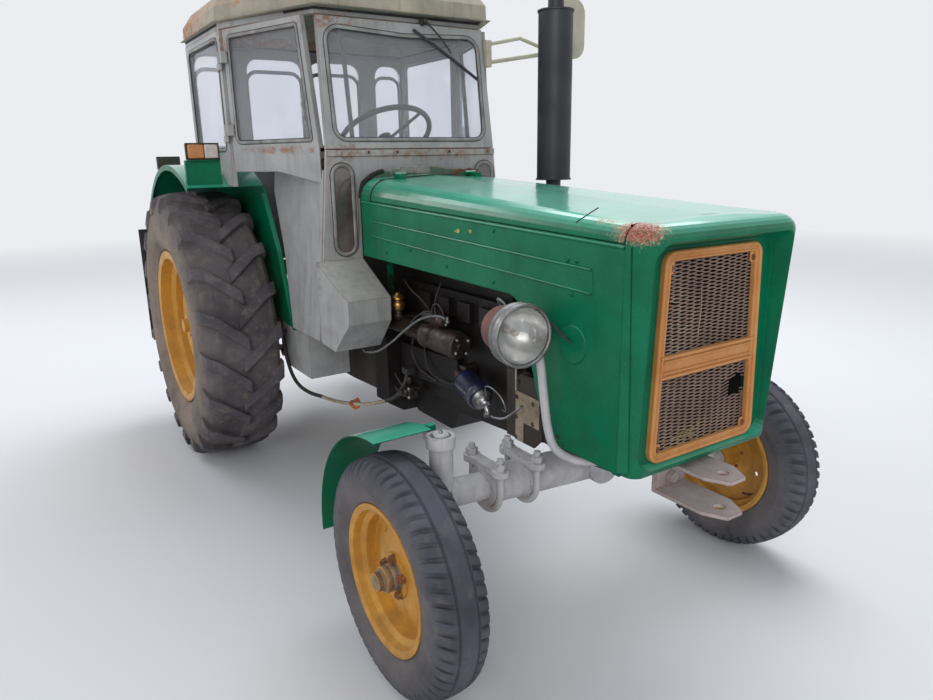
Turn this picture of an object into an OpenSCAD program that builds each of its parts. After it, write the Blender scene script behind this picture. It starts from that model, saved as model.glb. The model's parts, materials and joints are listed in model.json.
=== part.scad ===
/* [Layout] */
// Distance between the front and rear axles
wheelbase = 2190; // [2170:5:2210]
// Distance between the middles of the rear tyres
rear_track = 1370; // [1366:2:1384]
// Distance between the middles of the front tyres
front_track = 1452; // [1440:2:1470]
// How far the front hitch reaches ahead of the front axle
hitch_reach = 551; // [540:1:560]
// How far the lower links reach behind the rear axle
link_reach = 905; // [880:5:920]

/* [Rear wheels] */
// Radius of the rear tyre over its lugs
rear_tyre_r = 675; // [670:1:680]
// Width of the rear tyre
rear_tyre_w = 378; // [370:2:380]
// Height of a worn lug above the tread
lug_h = 28; // [20:1:32]
// Lugs on each half of a rear tyre
lug_count = 20; // [16:1:24]
// Width of a lug along the tread
lug_w = 58; // [45:1:64]
// Radius of the rear rim's bead seat
rear_seat_r = 356; // [350:1:358]
// Height of the rear rim's flange
rear_flange_h = 31; // [26:1:34]
// Distance between the rear rim's flanges
rear_rim_w = 300; // [290:2:304]
// Radius of the rear axle shaft
rear_shaft_r = 40; // [34:1:44]

/* [Front wheels] */
// Radius of the front tyre
front_tyre_r = 350; // [346:1:354]
// Width of the front tyre
front_tyre_w = 168; // [160:2:172]
// Radius of the front rim's bead seat
front_seat_r = 203; // [200:1:206]
// Height of the front rim's flange
front_flange_h = 16; // [13:1:18]
// Distance between the front rim's flanges
front_rim_w = 120; // [112:2:124]
// Depth of the grooves in the front tyre
rib_groove = 7; // [4:1:9]
// Radius of the spindle that carries a front hub
spindle_r = 22; // [18:1:25]
// Clearance around a shaft in its bore
fit = 0.05; // [0.03:0.01:0.08]

/* [Front axle] */
// Distance between the king pins
pin_track = 1180; // [1170:2:1186]
// Radius of a king pin
king_pin_r = 19; // [16:1:21]
// Radius of the king pin housing
king_house_r = 34; // [32:1:37]
// Height of the top of the king pin housing
king_top_z = 704; // [698:1:710]
// Height of the bottom of the king pin housing
king_low_z = 492; // [486:1:500]
// Radius of the outer axle tube
beam_r = 58; // [54:1:62]
// Radius of the sliding axle tube
slide_r = 42; // [38:1:46]
// Height of the axle tube at the middle
beam_z = 512; // [505:1:520]
// Rise of each axle half towards its wheel, in degrees
beam_rise = 4; // [2:0.5:5]
// Length of the steering arms behind the king pins
arm_len = 150; // [140:1:160]
// Width of the front mudguards
guard_w = 180; // [170:2:190]
// Radius of the front mudguards
guard_r = 415; // [405:1:425]

/* [Bonnet] */
// Half of the bonnet's width
hood_y = 303; // [298:1:306]
// Where the bonnet ends at the back
hood_rear_x = 1138; // [1130:1:1145]
// Distance from the front axle to where the side panels meet the nose
nose_ahead = 400; // [390:1:410]
// Distance from the front axle to the nose's front edge at its top
brow_ahead = 482; // [475:1:490]
// Distance from the front axle to the nose's front edge at its bottom
chin_ahead = 438; // [432:1:444]
// Height of the nose's underside
nose_low_z = 680; // [670:1:690]
// Height of the panel seam at the back
seam_rear_z = 1333; // [1326:1:1340]
// Height of the panel seam at the nose
seam_front_z = 1285; // [1278:1:1290]
// Rise of the bonnet top above the seam at the back
crown_rear = 97; // [90:1:102]
// Rise of the bonnet top above the seam at the nose
crown_front = 56; // [50:1:60]
// Height of the side panel's lower edge at the back
panel_low_z = 1112; // [1105:1:1120]
// Thickness of the bonnet's sheet
sheet = 4; // [3:0.5:5]
// Where the opening lid starts
lid_rear_x = 1226; // [1220:1:1232]
// Gap between the opening lid and the nose
lid_gap_front = 6; // [5:1:20]

/* [Grille] */
// Half of the grille's width at its top
grille_top_y = 192; // [186:1:196]
// Half of the grille's width at its bottom
grille_low_y = 213; // [206:1:216]
// Height of the grille's top
grille_top_z = 1262; // [1254:1:1264]
// Height of the grille's bottom
grille_low_z = 702; // [700:1:710]
// Width of the grille's frame
grille_rim = 26; // [22:1:30]
// Pitch of the mesh wires
mesh_pitch = 44; // [36:1:52]

/* [Cab] */
// Front face of the cab
cab_x = 1060; // [1056:1:1066]
// Half width of the cab's front at the belt
belt_y = 403; // [400:1:406]
// Half width of the cab's front at its foot
foot_y = 474; // [470:1:478]
// Height of the belt below the windscreen
belt_z = 1530; // [1526:1:1536]
// Height of the foot of the cab's front
foot_z = 780; // [772:1:786]
// Height of the window frames' tops
head_z = 2040; // [2034:1:2046]
// Half width of the windscreen frame at its top
head_y = 387; // [382:1:390]
// Lean of the windscreen, in degrees
screen_lean = 7.2; // [6:0.1:8]
// Where the rear pillar of the door opening stands
pillar_x = 460; // [456:1:466]
// Half width of the cab at that pillar
pillar_y = 612; // [606:1:616]
// Rear face of the cab
cab_rear_x = -150; // [-156:1:-146]
// Thickness of the cab's frames
frame_t = 22; // [18:1:26]
// Thickness of the cab's sheet
skin_t = 3; // [2:0.5:4]
// Thickness of the glass
glass_t = 5; // [4:0.5:6]
// Height of the roof above the window frames
roof_h = 205; // [190:1:215]
// Half distance between the oval windows
oval_y = 347; // [345:1:348]

/* [Fenders] */
// Clearance of the fender deck round the rear tyre
deck_clear = 130; // [120:1:137]
// Half width over the fenders' outer edges
deck_y = 800; // [790:1:812]
// Half distance between the fenders' inner walls
wall_y = 452; // [450:1:456]

/* [Exhaust] */
// Radius of the silencer
silencer_r = 68; // [62:1:72]
// Length of the silencer
silencer_h = 640; // [620:5:660]
// Height of the silencer's foot
silencer_z = 1398; // [1390:1:1410]
// Distance of the exhaust from the middle
exhaust_y = 408; // [402:1:414]
// Distance of the exhaust from the rear axle
exhaust_x = 1480; // [1470:1:1490]

/* [Hidden] */
$fn = 48;

// The drawing stands on the rear axle; the part's origin is under the middle of its length.
hitch_tip_x = wheelbase + hitch_reach;
nose_x = wheelbase + nose_ahead;
brow_x = wheelbase + brow_ahead;
chin_x = wheelbase + chin_ahead;
lid_front_x = nose_x - lid_gap_front;
frame_x = (hitch_tip_x - link_reach) / 2;
gap = 0.3;
eps = 0.5;
rear_axle_z = rear_tyre_r;
deck_r = rear_tyre_r + deck_clear;
front_axle_z = front_tyre_r;
rear_y = rear_track / 2;
front_y = front_track / 2;
pin_y = pin_track / 2;

// Colours of the finishes
green = [0.04, 0.45, 0.32];
ochre = [0.80, 0.58, 0.20];
cab_grey = [0.66, 0.66, 0.65];
casting = [0.16, 0.15, 0.14];
rubber = [0.13, 0.13, 0.14];

// Small helpers
function arc(c, r, a0, a1, n) = [for (i = [0:n]) let (a = a0 + (a1 - a0) * i / n)
    [c[0] + r * cos(a), c[1] + r * sin(a)]];
function rounded(x0, x1, z0, z1, r, n = 5) = concat(
    arc([x1 - r, z1 - r], r, 0, 90, n), arc([x0 + r, z1 - r], r, 90, 180, n),
    arc([x0 + r, z0 + r], r, 180, 270, n), arc([x1 - r, z0 + r], r, 270, 360, n));
function lerp(a, b, t) = a + (b - a) * t;
function rev(p) = [for (i = [len(p) - 1:-1:0]) p[i]];

module place() {
    translate([-frame_x, 0, 0]) children();
}
module at_left() {
    mirror([0, 1, 0]) children();
}
module both() {
    children();
    mirror([0, 1, 0]) children();
}
module rod(a, b, r, fn = 24) {
    v = b - a;
    l = norm(v);
    translate(a) rotate([0, acos(v[2] / l), atan2(v[1], v[0])]) cylinder(h = l, r = r, $fn = fn);
}
module tube_path(points, r, fn = 16) {
    n = len(points);
    for (i = [0:n - 2]) rod(points[i], points[i + 1], r, fn);
    for (i = [1:n - 2]) translate(points[i]) sphere(r = r * 1.06, $fn = 16);
}
module across(x, y0, y1, z, r, fn = 48) {
    translate([x, y0, z]) rotate([-90, 0, 0]) cylinder(h = y1 - y0, r = r, $fn = fn);
}
// A sheet that stands along the tractor, from y0 to y0 + t
module long_sheet(points, y0, t) {
    translate([0, y0 + t, 0]) rotate([90, 0, 0]) linear_extrude(t) polygon(points);
}
// A sheet that stands across the tractor, from x0 to x0 + t, its points being [y, z]
module cross_sheet(points, x0, t) {
    translate([x0, 0, 0]) rotate([90, 0, 90]) linear_extrude(t) polygon(points);
}
module box(x0, x1, y0, y1, z0, z1) {
    translate([x0, y0, z0]) cube([x1 - x0, y1 - y0, z1 - z0]);
}
// A sheet bent round an axle at c = [x, z], from a0 to a1 degrees and y0 to y0 + w
module arc_strip(c, r, t, a0, a1, y0, w) {
    intersection() {
        difference() {
            across(c[0], y0, y0 + w, c[1], r, 144);
            across(c[0], y0 - 1, y0 + w + 1, c[1], r - t, 144);
        }
        long_sheet(concat([c], arc(c, 1.3 * r, a0, a1, 6)), y0 - 2, w + 4);
    }
}
module ring_y(points, x, y, z) {
    translate([x, y, z]) rotate([90, 0, 0]) rotate_extrude($fn = 72) polygon(points);
}

// Rear tyre, its middle at the origin; columns are radius and distance from the middle
function rear_carcass() = let (w = rear_tyre_w / 2, t = rear_tyre_r - lug_h, s = rear_seat_r + gap,
    f = rear_rim_w / 2) [[s, f], [s + 36, f], [s + 44, f + 13], [s + 84, w - 8], [s + 144, w],
    [t - 87, w - 5], [t - 42, w - 17], [t - 15, w - 39], [t - 2, w - 79], [t, 0]];
function rear_tread() = let (w = rear_tyre_w / 2, t = rear_tyre_r) [[t - 95, w - 30], [t - 92, w - 4],
    [t - 62, w - 3], [t - 22, w - 14], [t - 8, w - 47], [t - 2, w - 99], [t, 0]];
function both_sides(p) = concat(p, [for (q = rev(p)) if (q[1] > 0) [q[0], -q[1]]]);
module rear_lug() {
    // columns are the place along the tread and across it
    line = [[84, -16], [26, 52], [-34, 122], [-66, 196]];
    polygon(concat([for (p = line) [p[0] + lug_w / 2, p[1]]],
        [for (p = rev(line)) [p[0] - lug_w / 2, p[1]]]));
}
module rear_tyre() {
    low = rear_tyre_r - 110;
    color(rubber) union() {
        ring_y(both_sides(rear_carcass()), 0, 0, 0);
        intersection() {
            ring_y(both_sides(rear_tread()), 0, 0, 0);
            for (i = [0:lug_count - 1], s = [0, 1])
                rotate([0, (i + s / 2) * 360 / lug_count, 0]) mirror([0, s, 0])
                    translate([0, 0, low]) linear_extrude(rear_tyre_r + 20 - low) rear_lug();
        }
    }
}

// Rear wheel: rim, dished disc and hub, its outer side towards -Y
disc_in = 34;
rear_hub_r = 72;
module rear_wheel() {
    f = rear_rim_w / 2;
    s = rear_seat_r;
    t = 6;
    rim = [[s + rear_flange_h, f + 11], [s + rear_flange_h, f + 4], [s, f + 1], [s - 4, f - 50],
        [s - 26, f - 70], [s - 26, 70 - f], [s - 4, 50 - f], [s, -f - 1],
        [s + rear_flange_h, -f - 4], [s + rear_flange_h, -f - 11], [s + 20, -f - 13],
        [s - t, -f - 6], [s - 4 - t, 46 - f], [s - 26 - t, 66 - f], [s - 26 - t, f - 66],
        [s - 4 - t, f - 46], [s - t, f + 7], [s + 20, f + 13]];
    // columns are radius and distance outwards from the middle of the rim
    disc = [[s - 30, disc_in - 10], [s - 60, disc_in - 10], [210, disc_in + 30], [130, disc_in + 6],
        [64, disc_in + 6], [64, disc_in + 16], [128, disc_in + 16], [210, disc_in + 41],
        [s - 58, disc_in + 1], [s - 30, disc_in + 1]];
    color(ochre) difference() {
        union() {
            ring_y(rim, 0, 0, 0);
            ring_y(disc, 0, 0, 0);
            across(0, -disc_in - 6, rear_y - 478, 0, rear_hub_r);
            across(0, -disc_in - 6, -disc_in + 8, 0, 126);
            across(0, -disc_in - 70, -disc_in - 6, 0, 58);
            across(0, -disc_in - 92, -disc_in - 70, 0, 34);
            for (i = [0:7]) rotate([0, i * 45, 0]) translate([0, 0, 100])
                across(0, -disc_in - 30, -disc_in - 12, 0, 13, 6);
        }
        across(0, -disc_in - 30, rear_y, 0, rear_shaft_r + fit);
    }
}

// Front tyre and wheel, outer side towards -Y
function front_carcass() = let (w = front_tyre_w / 2, t = front_tyre_r, s = front_seat_r + gap,
    f = front_rim_w / 2, g = rib_groove) [[s, f], [s + 18, f], [s + 25, f + 9], [s + 58, w - 2],
    [s + 82, w], [t - 40, w - 4], [t - 18, w - 15], [t - 6, w - 34], [t - 3, 33], [t - g, 31],
    [t - g, 26], [t - 1, 24], [t, 0]];
module front_tyre() {
    color(rubber) ring_y(both_sides(front_carcass()), 0, 0, 0);
}
front_disc_in = 6;
module front_wheel() {
    f = front_rim_w / 2;
    s = front_seat_r;
    h = front_flange_h;
    t = 5;
    rim = [[s + h, f + 9], [s + h, f + 3], [s, f + 1], [s - 3, f - 20], [s - 19, f - 32],
        [s - 19, 32 - f], [s - 3, 20 - f], [s, -f - 1], [s + h, -f - 3], [s + h, -f - 9],
        [s + 9, -f - 10], [s - t, -f - 4], [s - 3 - t, 18 - f], [s - 19 - t, 30 - f],
        [s - 19 - t, f - 30], [s - 3 - t, f - 18], [s - t, f + 4], [s + 9, f + 10]];
    disc = [[s - 22, front_disc_in - 12], [s - 40, front_disc_in - 12], [96, front_disc_in + 8],
        [40, front_disc_in + 8], [40, front_disc_in + 15], [98, front_disc_in + 15],
        [s - 38, front_disc_in - 5], [s - 22, front_disc_in - 5]];
    color(ochre) difference() {
        union() {
            ring_y(rim, 0, 0, 0);
            ring_y(disc, 0, 0, 0);
            across(0, -front_disc_in - 8, 62, 0, 44);
            across(0, -front_disc_in - 22, -front_disc_in - 8, 0, 66);
            across(0, -front_disc_in - 62, -front_disc_in - 22, 0, 38);
            across(0, -front_disc_in - 84, -front_disc_in - 62, 0, 27);
            for (i = [0:4]) rotate([0, i * 72, 0]) translate([0, 0, 54])
                across(0, -front_disc_in - 34, -front_disc_in - 22, 0, 11, 6);
        }
        across(0, -front_disc_in - 30, front_y, 0, spindle_r + fit);
        for (i = [0:4]) rotate([0, i * 72 + 36, 0]) translate([0, 0, 132])
            across(0, -60, 30, 0, 9);
    }
}
module at_rear_wheel() {
    place() translate([0, -rear_y, rear_axle_z]) children();
}
module at_front_wheel() {
    place() translate([wheelbase, -front_y, front_axle_z]) children();
}

// Gearbox, rear axle and lift housing
flange_in = 470;
gearbox_y = 190;
trumpet_r = 92;
lift_x = -150;
lift_z = 905;
lift_shaft_r = 26;
link_pivot = [-70, 262, 445];
link_pin_r = 14;
module transmission() {
    side = [[-240, 470], [-240, 790], [-200, 800], [700, 800], [760, 760], [1060, 760],
        [1060, 452], [620, 430], [-180, 430]];
    color(casting) place() difference() {
        union() {
            long_sheet(side, -150, 300);
            across(0, -250, 250, rear_axle_z, 150);
            both() {
                across(0, -flange_in + 30, -250 + eps, rear_axle_z, trumpet_r);
                across(0, -flange_in, -flange_in + 30, rear_axle_z, 118);
                across(0, -690, -flange_in + eps, rear_axle_z, rear_shaft_r);
                across(link_pivot[0], -link_pivot[1] - 12, -150 + eps, link_pivot[2], link_pin_r);
            }
            long_sheet([[-236, 800 - eps], [-236, 850], [-200, 955], [-100, 955], [240, 890],
                [260, 800 - eps]], -130, 260);
            across(lift_x, -150, 150, lift_z, 44);
            cross_sheet([[-gearbox_y, 440], [-gearbox_y, 850], [gearbox_y, 850], [gearbox_y, 440],
                [150, 430], [-150, 430]], 960, 100);
            rod([-240 + eps, 0, 590], [-262, 0, 590], 60);
            rod([-262 + eps, 0, 590], [-330, 0, 590], 17.45);
            // top link bracket
            for (s = [-1, 1]) long_sheet([[-235, 700], [-235, 860], [-300, 850], [-318, 820],
                [-300, 790]], s * 34 - 9, 18);
            // drawbar hitch plates
            for (z = [360, 430]) box(-330, -150, -45, 45, z, z + 18);
            box(-190, -150, -45, 45, 360, 448);
        }
        across(lift_x, -200, 200, lift_z, lift_shaft_r + fit);
        across(-296, -60, 60, 822, 12.85);
        translate([-300, 0, 350]) cylinder(h = 110, r = 16);
    }
}

// Engine: one heavy block, with what shows of its castings
engine_front_x = wheelbase - 260;
engine_rear_x = 1060;
engine_y = 150;
bell_top = 866 - gap;
module engine() {
    bell = [[-240, 470], [-240, 800], [-240, bell_top], [-180, bell_top], [180, bell_top],
        [240, bell_top], [240, 800], [240, 470], [170, 425], [-170, 425]];
    color([0.17, 0.13, 0.11]) place() union() {
        cross_sheet(bell, engine_rear_x, 120);
        box(engine_rear_x + 120 - eps, engine_front_x, -engine_y, engine_y, 560, 1010);
        long_sheet([[1179, 470], [1179, 600], [engine_front_x, 600], [engine_front_x, 545],
            [1560, 520], [1500, 430], [1230, 430]], -125, 250);
        box(1230, engine_front_x - 30, -118, 118, 1010 - eps, 1065);
        long_sheet([[1250, 1065 - eps], [1250, 1120], [1275, 1140], [engine_front_x - 70, 1140],
            [engine_front_x - 45, 1120], [engine_front_x - 45, 1065 - eps]], -70, 140);
        for (i = [0:3]) box(1360 + i * 140, 1440 + i * 140, -engine_y - 26, -engine_y + eps, 915, 985);
        rod([engine_front_x - eps, 0, 905], [engine_front_x + 70, 0, 905], 60);
        rod([engine_front_x - eps, 0, 640], [engine_front_x + 60, 0, 640], 95);
        long_sheet([[1190, 600], [1190, 740], [1640, 760], [1640, 640]], -engine_y - 30, 30 + eps);
    }
}

// What hangs on the engine's sides: starter, filters, pump and fan
module engine_fittings() {
    color([0.45, 0.43, 0.42]) place() {
        // starter on the bell housing's right side
        rod([1180 + gap, -218, 838], [1492, -218, 838], 36);
        rod([1490, -218, 838], [1728, -218, 838], 51);
        box(1560, 1600, -218, -engine_y - gap, 820, 850);
        // oil filter, low on the right
        x = engine_front_x;
        rod([x - 178, -212, 722], [x - 32, -240, 694], 44);
        rod([x - 230, -202, 732], [x - 177, -212, 722], 22);
        box(x - 240, x - 200, -202, -engine_y - gap, 700, 760);
        // fuel filter with its brass dome
        translate([1300, -240, 868 - gap]) cylinder(h = 68, r = 16);
        translate([1300, -240, 935 - gap]) cylinder(h = 24, r = 24);
        translate([1300, -240, 955]) sphere(r = 21, $fn = 24);
        box(1280, 1320, -256, -engine_y - gap, 868 - gap, 880);
        // injection pump on the left
        box(1420, 1700, engine_y + gap, engine_y + 62, 700, 850);
        for (i = [0:3]) translate([1455 + i * 62, engine_y + 34, 850 - eps]) cylinder(h = 36, r = 12);
        // fan on its shaft
        rod([engine_front_x + 70 + gap, 0, 905], [engine_front_x + 150, 0, 905], 40);
        for (i = [0:3]) translate([engine_front_x + 110, 0, 905]) rotate([i * 90 + 20, 0, 0])
            rotate([0, 0, 25]) translate([-4, -38, 20]) cube([8, 76, 200]);
    }
}

// Cast front support that carries the radiator and the axle
support_y = 165;
support_top_z = 690;
support_front_x = wheelbase + 310;
module front_support() {
    a = wheelbase;
    rail = [[engine_front_x + gap, 560], [engine_front_x + gap, 800], [a - 160, 800], [a - 110, 720],
        [a - 70, support_top_z], [support_front_x, support_top_z], [support_front_x, 610],
        [a + 130, 592], [a - 60, 592], [a - 150, 560]];
    color([0.25, 0.19, 0.16]) place() union() {
        for (s = [-1, 1]) long_sheet(rail, s * (support_y - 12) - 12, 24);
        box(support_front_x - 60, support_front_x, -support_y, support_y, 612, support_top_z);
        box(a - 60, a + 60, -support_y, support_y, 592, 620);
        // plate with holes that the lamp stalk bolts to
        for (s = [-1, 1]) difference() {
            long_sheet([[a - 200, 560], [a - 200, 800], [a - 60, 800], [a - 60, 600], [a - 100, 560]],
                s * (support_y + 4) - 4, 8);
            for (x = [a - 180, a - 82], z = [640, 770]) across(x, -200, 200, z, 9);
        }
    }
}

// Front axle beam, straight or rising towards the wheels
function beam_at(y) = [wheelbase, y, beam_z + abs(y) * tan(beam_rise)];
clamp_places = [-300, -436];
bolt_out = 74;
bolt_r = 10;
module axle_half() {
    rod([wheelbase, -1, beam_z], beam_at(-440), beam_r, 48);
    rod(beam_at(-436), beam_at(-pin_y + 10), slide_r, 48);
    translate([wheelbase, -pin_y, king_low_z]) cylinder(h = king_top_z - king_low_z, r = king_house_r);
    for (y = clamp_places) {
        r = y < -400 ? beam_r + 6 : beam_r + 5;
        translate(beam_at(y)) rotate([-90 + beam_rise, 0, 0]) translate([0, 0, -13])
            cylinder(h = 26, r = r);
        translate([wheelbase, y, beam_at(y)[2] + beam_r - 2]) {
            translate([-bolt_out, -20, 0]) cube([2 * bolt_out, 40, 20]);
            for (dx = [-bolt_out, bolt_out]) translate([dx, 0, 0]) {
                cylinder(h = 20, r = 26);
                translate([0, 0, 20 - eps]) cylinder(h = 20, r = 19, $fn = 6);
                translate([0, 0, 2 - beam_r]) cylinder(h = beam_r + 52, r = bolt_r);
            }
            // the bolt's bend below the tube
            translate([0, 0, 2 - beam_r]) rotate([-90, 0, 0]) rotate_extrude(angle = 180)
                translate([bolt_out, 0]) circle(r = bolt_r);
        }
    }
}
module front_axle() {
    color([0.68, 0.68, 0.70]) place() difference() {
        union() {
            both() axle_half();
            // pivot casting that hangs in the support
            rod([wheelbase - 60, 0, beam_z + 8], [wheelbase + 60, 0, beam_z + 8], 70, 48);
            box(wheelbase - 55, wheelbase + 55, -60, 60, beam_z, 592 - gap);
        }
        both() translate([wheelbase, -pin_y, king_low_z - 10])
            cylinder(h = king_top_z - king_low_z + 20, r = king_pin_r + fit);
    }
}

// Towing jaw at the front
jaw_z = [548, 650];
jaw_pin_r = 17;
jaw_web_x = support_front_x + 12;
module front_hitch() {
    tip = hitch_tip_x;
    plan = [[jaw_web_x, -62], [tip - 62, -62], [tip, -30], [tip, 30], [tip - 62, 62], [jaw_web_x, 62]];
    color([0.72, 0.67, 0.66]) place() difference() {
        union() {
            for (z = jaw_z) translate([0, 0, z - 8]) linear_extrude(12) polygon(plan);
            box(support_front_x + gap, jaw_web_x + 4, -62, 62, jaw_z[0] - 8, jaw_z[1] + 4);
            for (z = [jaw_z[0] + 30, jaw_z[1] - 30]) rod([jaw_web_x + 3, 0, z], [jaw_web_x + 20, 0, z],
                20, 6);
        }
        translate([tip - 52, 0, jaw_z[0] - 20]) cylinder(h = jaw_z[1] - jaw_z[0] + 40, r = jaw_pin_r);
    }
}

// Radiator on the front support
module radiator() {
    color([0.12, 0.10, 0.09]) place() union() {
        x = support_front_x - 60;
        box(x - 40, x + 40, -235, 235, support_top_z + gap, 780);
        box(x - 30, x + 30, -225, 225, 780 - eps, 1180);
        box(x - 45, x + 45, -235, 235, 1180 - eps, 1250);
        translate([x, 0, 1250 - eps]) cylinder(h = 18, r = 34);
        for (s = [-1, 1]) box(x - 35, x + 35, s * 232 - 6, s * 232 + 6, 770, 1190);
    }
}

// Bonnet section at a place along the tractor, half width y
function seam_z(x) = lerp(seam_rear_z, seam_front_z, (x - hood_rear_x) / (nose_x - hood_rear_x));
function crown(x) = lerp(crown_rear, crown_front, (x - hood_rear_x) / (nose_x - hood_rear_x));
// points [y, z] from the right seam over the top to the left seam, inset by t
function hood_section(x, t) = let (w = hood_y - t, c = crown(x), z0 = seam_z(x), r = c * 0.82)
    concat([[-w, z0]], [for (i = [0:6]) let (a = 180 - i * 14)
        [-w + r + r * cos(a), z0 + c * 0.06 + (r - t) * sin(a)]],
        [[0, z0 + c - t]], [for (i = [6:-1:0]) let (a = 180 - i * 14)
        [w - r - r * cos(a), z0 + c * 0.06 + (r - t) * sin(a)]], [[w, z0]]);
module hood_loft(x0, x1, t, down) {
    hull() {
        cross_sheet(concat([[-hood_y + t, seam_z(x0) - down]], hood_section(x0, t),
            [[hood_y - t, seam_z(x0) - down]]), x0, 1);
        cross_sheet(concat([[-hood_y + t, seam_z(x1) - down]], hood_section(x1, t),
            [[hood_y - t, seam_z(x1) - down]]), x1 - 1, 1);
    }
}
lid_gap = 3;
lid_hinge = [lid_rear_x - 3, seam_z(lid_rear_x) + crown(lid_rear_x) + 6];
lid_skin_z = lid_hinge[1] - 15.5;
lid_knuckle = [165, 192];
module hood_lid() {
    color(green) place() union() {
        difference() {
            hood_loft(lid_rear_x, lid_front_x, 0, -lid_gap);
            translate([-1, 0, 0]) hood_loft(lid_rear_x, lid_front_x + 4, sheet, 40);
        }
        // hinge knuckles
        for (s = [-1, 1]) mirror([0, s < 0 ? 1 : 0, 0]) difference() {
            union() {
                across(lid_hinge[0], lid_knuckle[0] + gap, lid_knuckle[1], lid_hinge[1], 8);
                box(lid_hinge[0], lid_hinge[0] + 46, lid_knuckle[0] + gap, lid_knuckle[1],
                    lid_skin_z - 2, lid_hinge[1]);
            }
            across(lid_hinge[0], 100, 220, lid_hinge[1], 4 + fit);
        }
    }
}
module cowl() {
    color(green) place() union() {
        difference() {
            hood_loft(hood_rear_x, lid_rear_x - 6, 0, 0);
            translate([-10, 0, 0]) hood_loft(hood_rear_x, lid_rear_x + 30, sheet, 40);
        }
        // fixed halves of the lid's hinges, with their pins
        both() {
            across(lid_hinge[0], 142, lid_knuckle[0], lid_hinge[1], 8);
            across(lid_hinge[0], 142, lid_knuckle[1], lid_hinge[1], 4);
            box(lid_hinge[0] - 40, lid_hinge[0], 142, lid_knuckle[0], lid_skin_z - 2, lid_hinge[1]);
        }
        // bulkhead and its feet on the bell housing
        difference() {
            cross_sheet([[-212, 872], [-212, panel_low_z + 10], [-hood_y + sheet + gap,
                panel_low_z + 10], [-hood_y + sheet + gap, seam_z(hood_rear_x)],
                [hood_y - sheet - gap, seam_z(hood_rear_x)], [hood_y - sheet - gap,
                panel_low_z + 10], [212, panel_low_z + 10], [212, 872]], hood_rear_x + 20, 6);
            box(hood_rear_x + 10, hood_rear_x + 40, -185, 185, 860, 1190);
        }
        for (s = [-1, 1]) box(hood_rear_x + 20, hood_rear_x + 40, s * 200 - 20, s * 200 + 20,
            866, 878);
    }
}

// Side panels; the lower edge drops behind the front wheel to the nose's foot
rib_x0 = 1222;
rib_x1 = nose_x - 108;
rib_rows = [[1256, 1212], [1198, 1151]];
function panel_outline(low) = concat([[hood_rear_x, panel_low_z], [hood_rear_x, seam_z(hood_rear_x)],
    [nose_x - gap, seam_z(nose_x)], [nose_x - gap, low], [nose_x - 258, low],
    [nose_x - 326, 820], [nose_x - 350, 894]], arc([nose_x - 472, 1016], 84, -6, 90, 8));
module hood_side() {
    low = nose_low_z + 12;
    difference() {
        union() {
            long_sheet(panel_outline(low), -hood_y, sheet);
            // the pressed field between the two ribs stands proud
            long_sheet([[rib_x0, rib_rows[0][0]], [rib_x1, rib_rows[0][1]],
                [rib_x1 + 4, rib_rows[1][1]], [rib_x0 + 2, rib_rows[1][0]]], -hood_y - 3, 4);
            across(nose_x - 176, -hood_y - 4, -hood_y + 1, 1003, 52);
            // inner flange that the lid rests on
            long_sheet([for (p = [[lid_rear_x, -26], [lid_rear_x, -22], [nose_x - 24, -22],
                [nose_x - 24, -26]]) [p[0], seam_z(p[0]) + p[1]]], -hood_y + sheet - eps, 26);
        }
        across(nose_x - 230, -hood_y - 10, -hood_y + 10, 718, 8);
    }
    // stay on the front support's rail
    box(nose_x - 230, nose_x - 200, -hood_y + sheet - eps, -support_y + 20, support_top_z + gap,
        support_top_z + gap + 6);
}
module hood_sides() {
    color(green) place() both() hood_side();
}

// Nose: a deep shell whose rim stands ahead of the grille under a brow
nose_taper = 25;
shoulder_r = crown_front * 0.82;
shoulder_z = seam_front_z + crown_front * 0.06;
brow_round = 38;
module nose_slab(z, w, x1, r) {
    translate([0, 0, z]) linear_extrude(0.5) polygon(concat([[nose_x, -w]],
        arc([x1 - r, -w + r], r, -90, 0, 8), arc([x1 - r, w - r], r, 0, 90, 8), [[nose_x, w]]));
}
module nose_form(t, front) {
    hull() {
        nose_slab(nose_low_z + t, hood_y - nose_taper - t, chin_x - front, 34);
        nose_slab(nose_low_z + 16 + t, hood_y - nose_taper + 4 - t, chin_x + 6 - front, 46);
        // the shoulders and the brow round over into the bonnet's top
        for (a = [0:15:90]) let (in = 1 - cos(a))
            nose_slab(shoulder_z - t - 0.5 + shoulder_r * sin(a), hood_y - shoulder_r * in - t,
                brow_x - brow_round * in - front, 70 - 20 * in);
        translate([0, 0, seam_front_z + crown_front - 0.5 - t]) linear_extrude(0.5)
            polygon([[nose_x, -60], [nose_x + 30, -50], [nose_x + 30, 50], [nose_x, 60]]);
    }
}
face_x = nose_x + 14;
module nose() {
    color(green) place() union() {
        difference() {
            nose_form(0, 0);
            // hollow behind the face
            translate([-0.5, 0, 0]) intersection() {
                nose_form(sheet, sheet);
                box(nose_x - 1, face_x - sheet, -400, 400, 600, 1500);
            }
            // recess ahead of the face
            hull() {
                cross_sheet(rounded(-256, 256, nose_low_z + 22, seam_front_z - 14, 44), face_x, 1);
                cross_sheet(rounded(-276, 276, nose_low_z + 4, seam_front_z + 8, 50), brow_x + 6, 1);
            }
            // opening behind the grille
            cross_sheet(grille_outline(12), face_x - 20, 60);
        }
        // ledge that the lid and panels seat on
        box(nose_x - 22, nose_x + 2, -hood_y + sheet + 4, hood_y - sheet - 4, nose_low_z + 4,
            nose_low_z + 9);
    }
}

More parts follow.
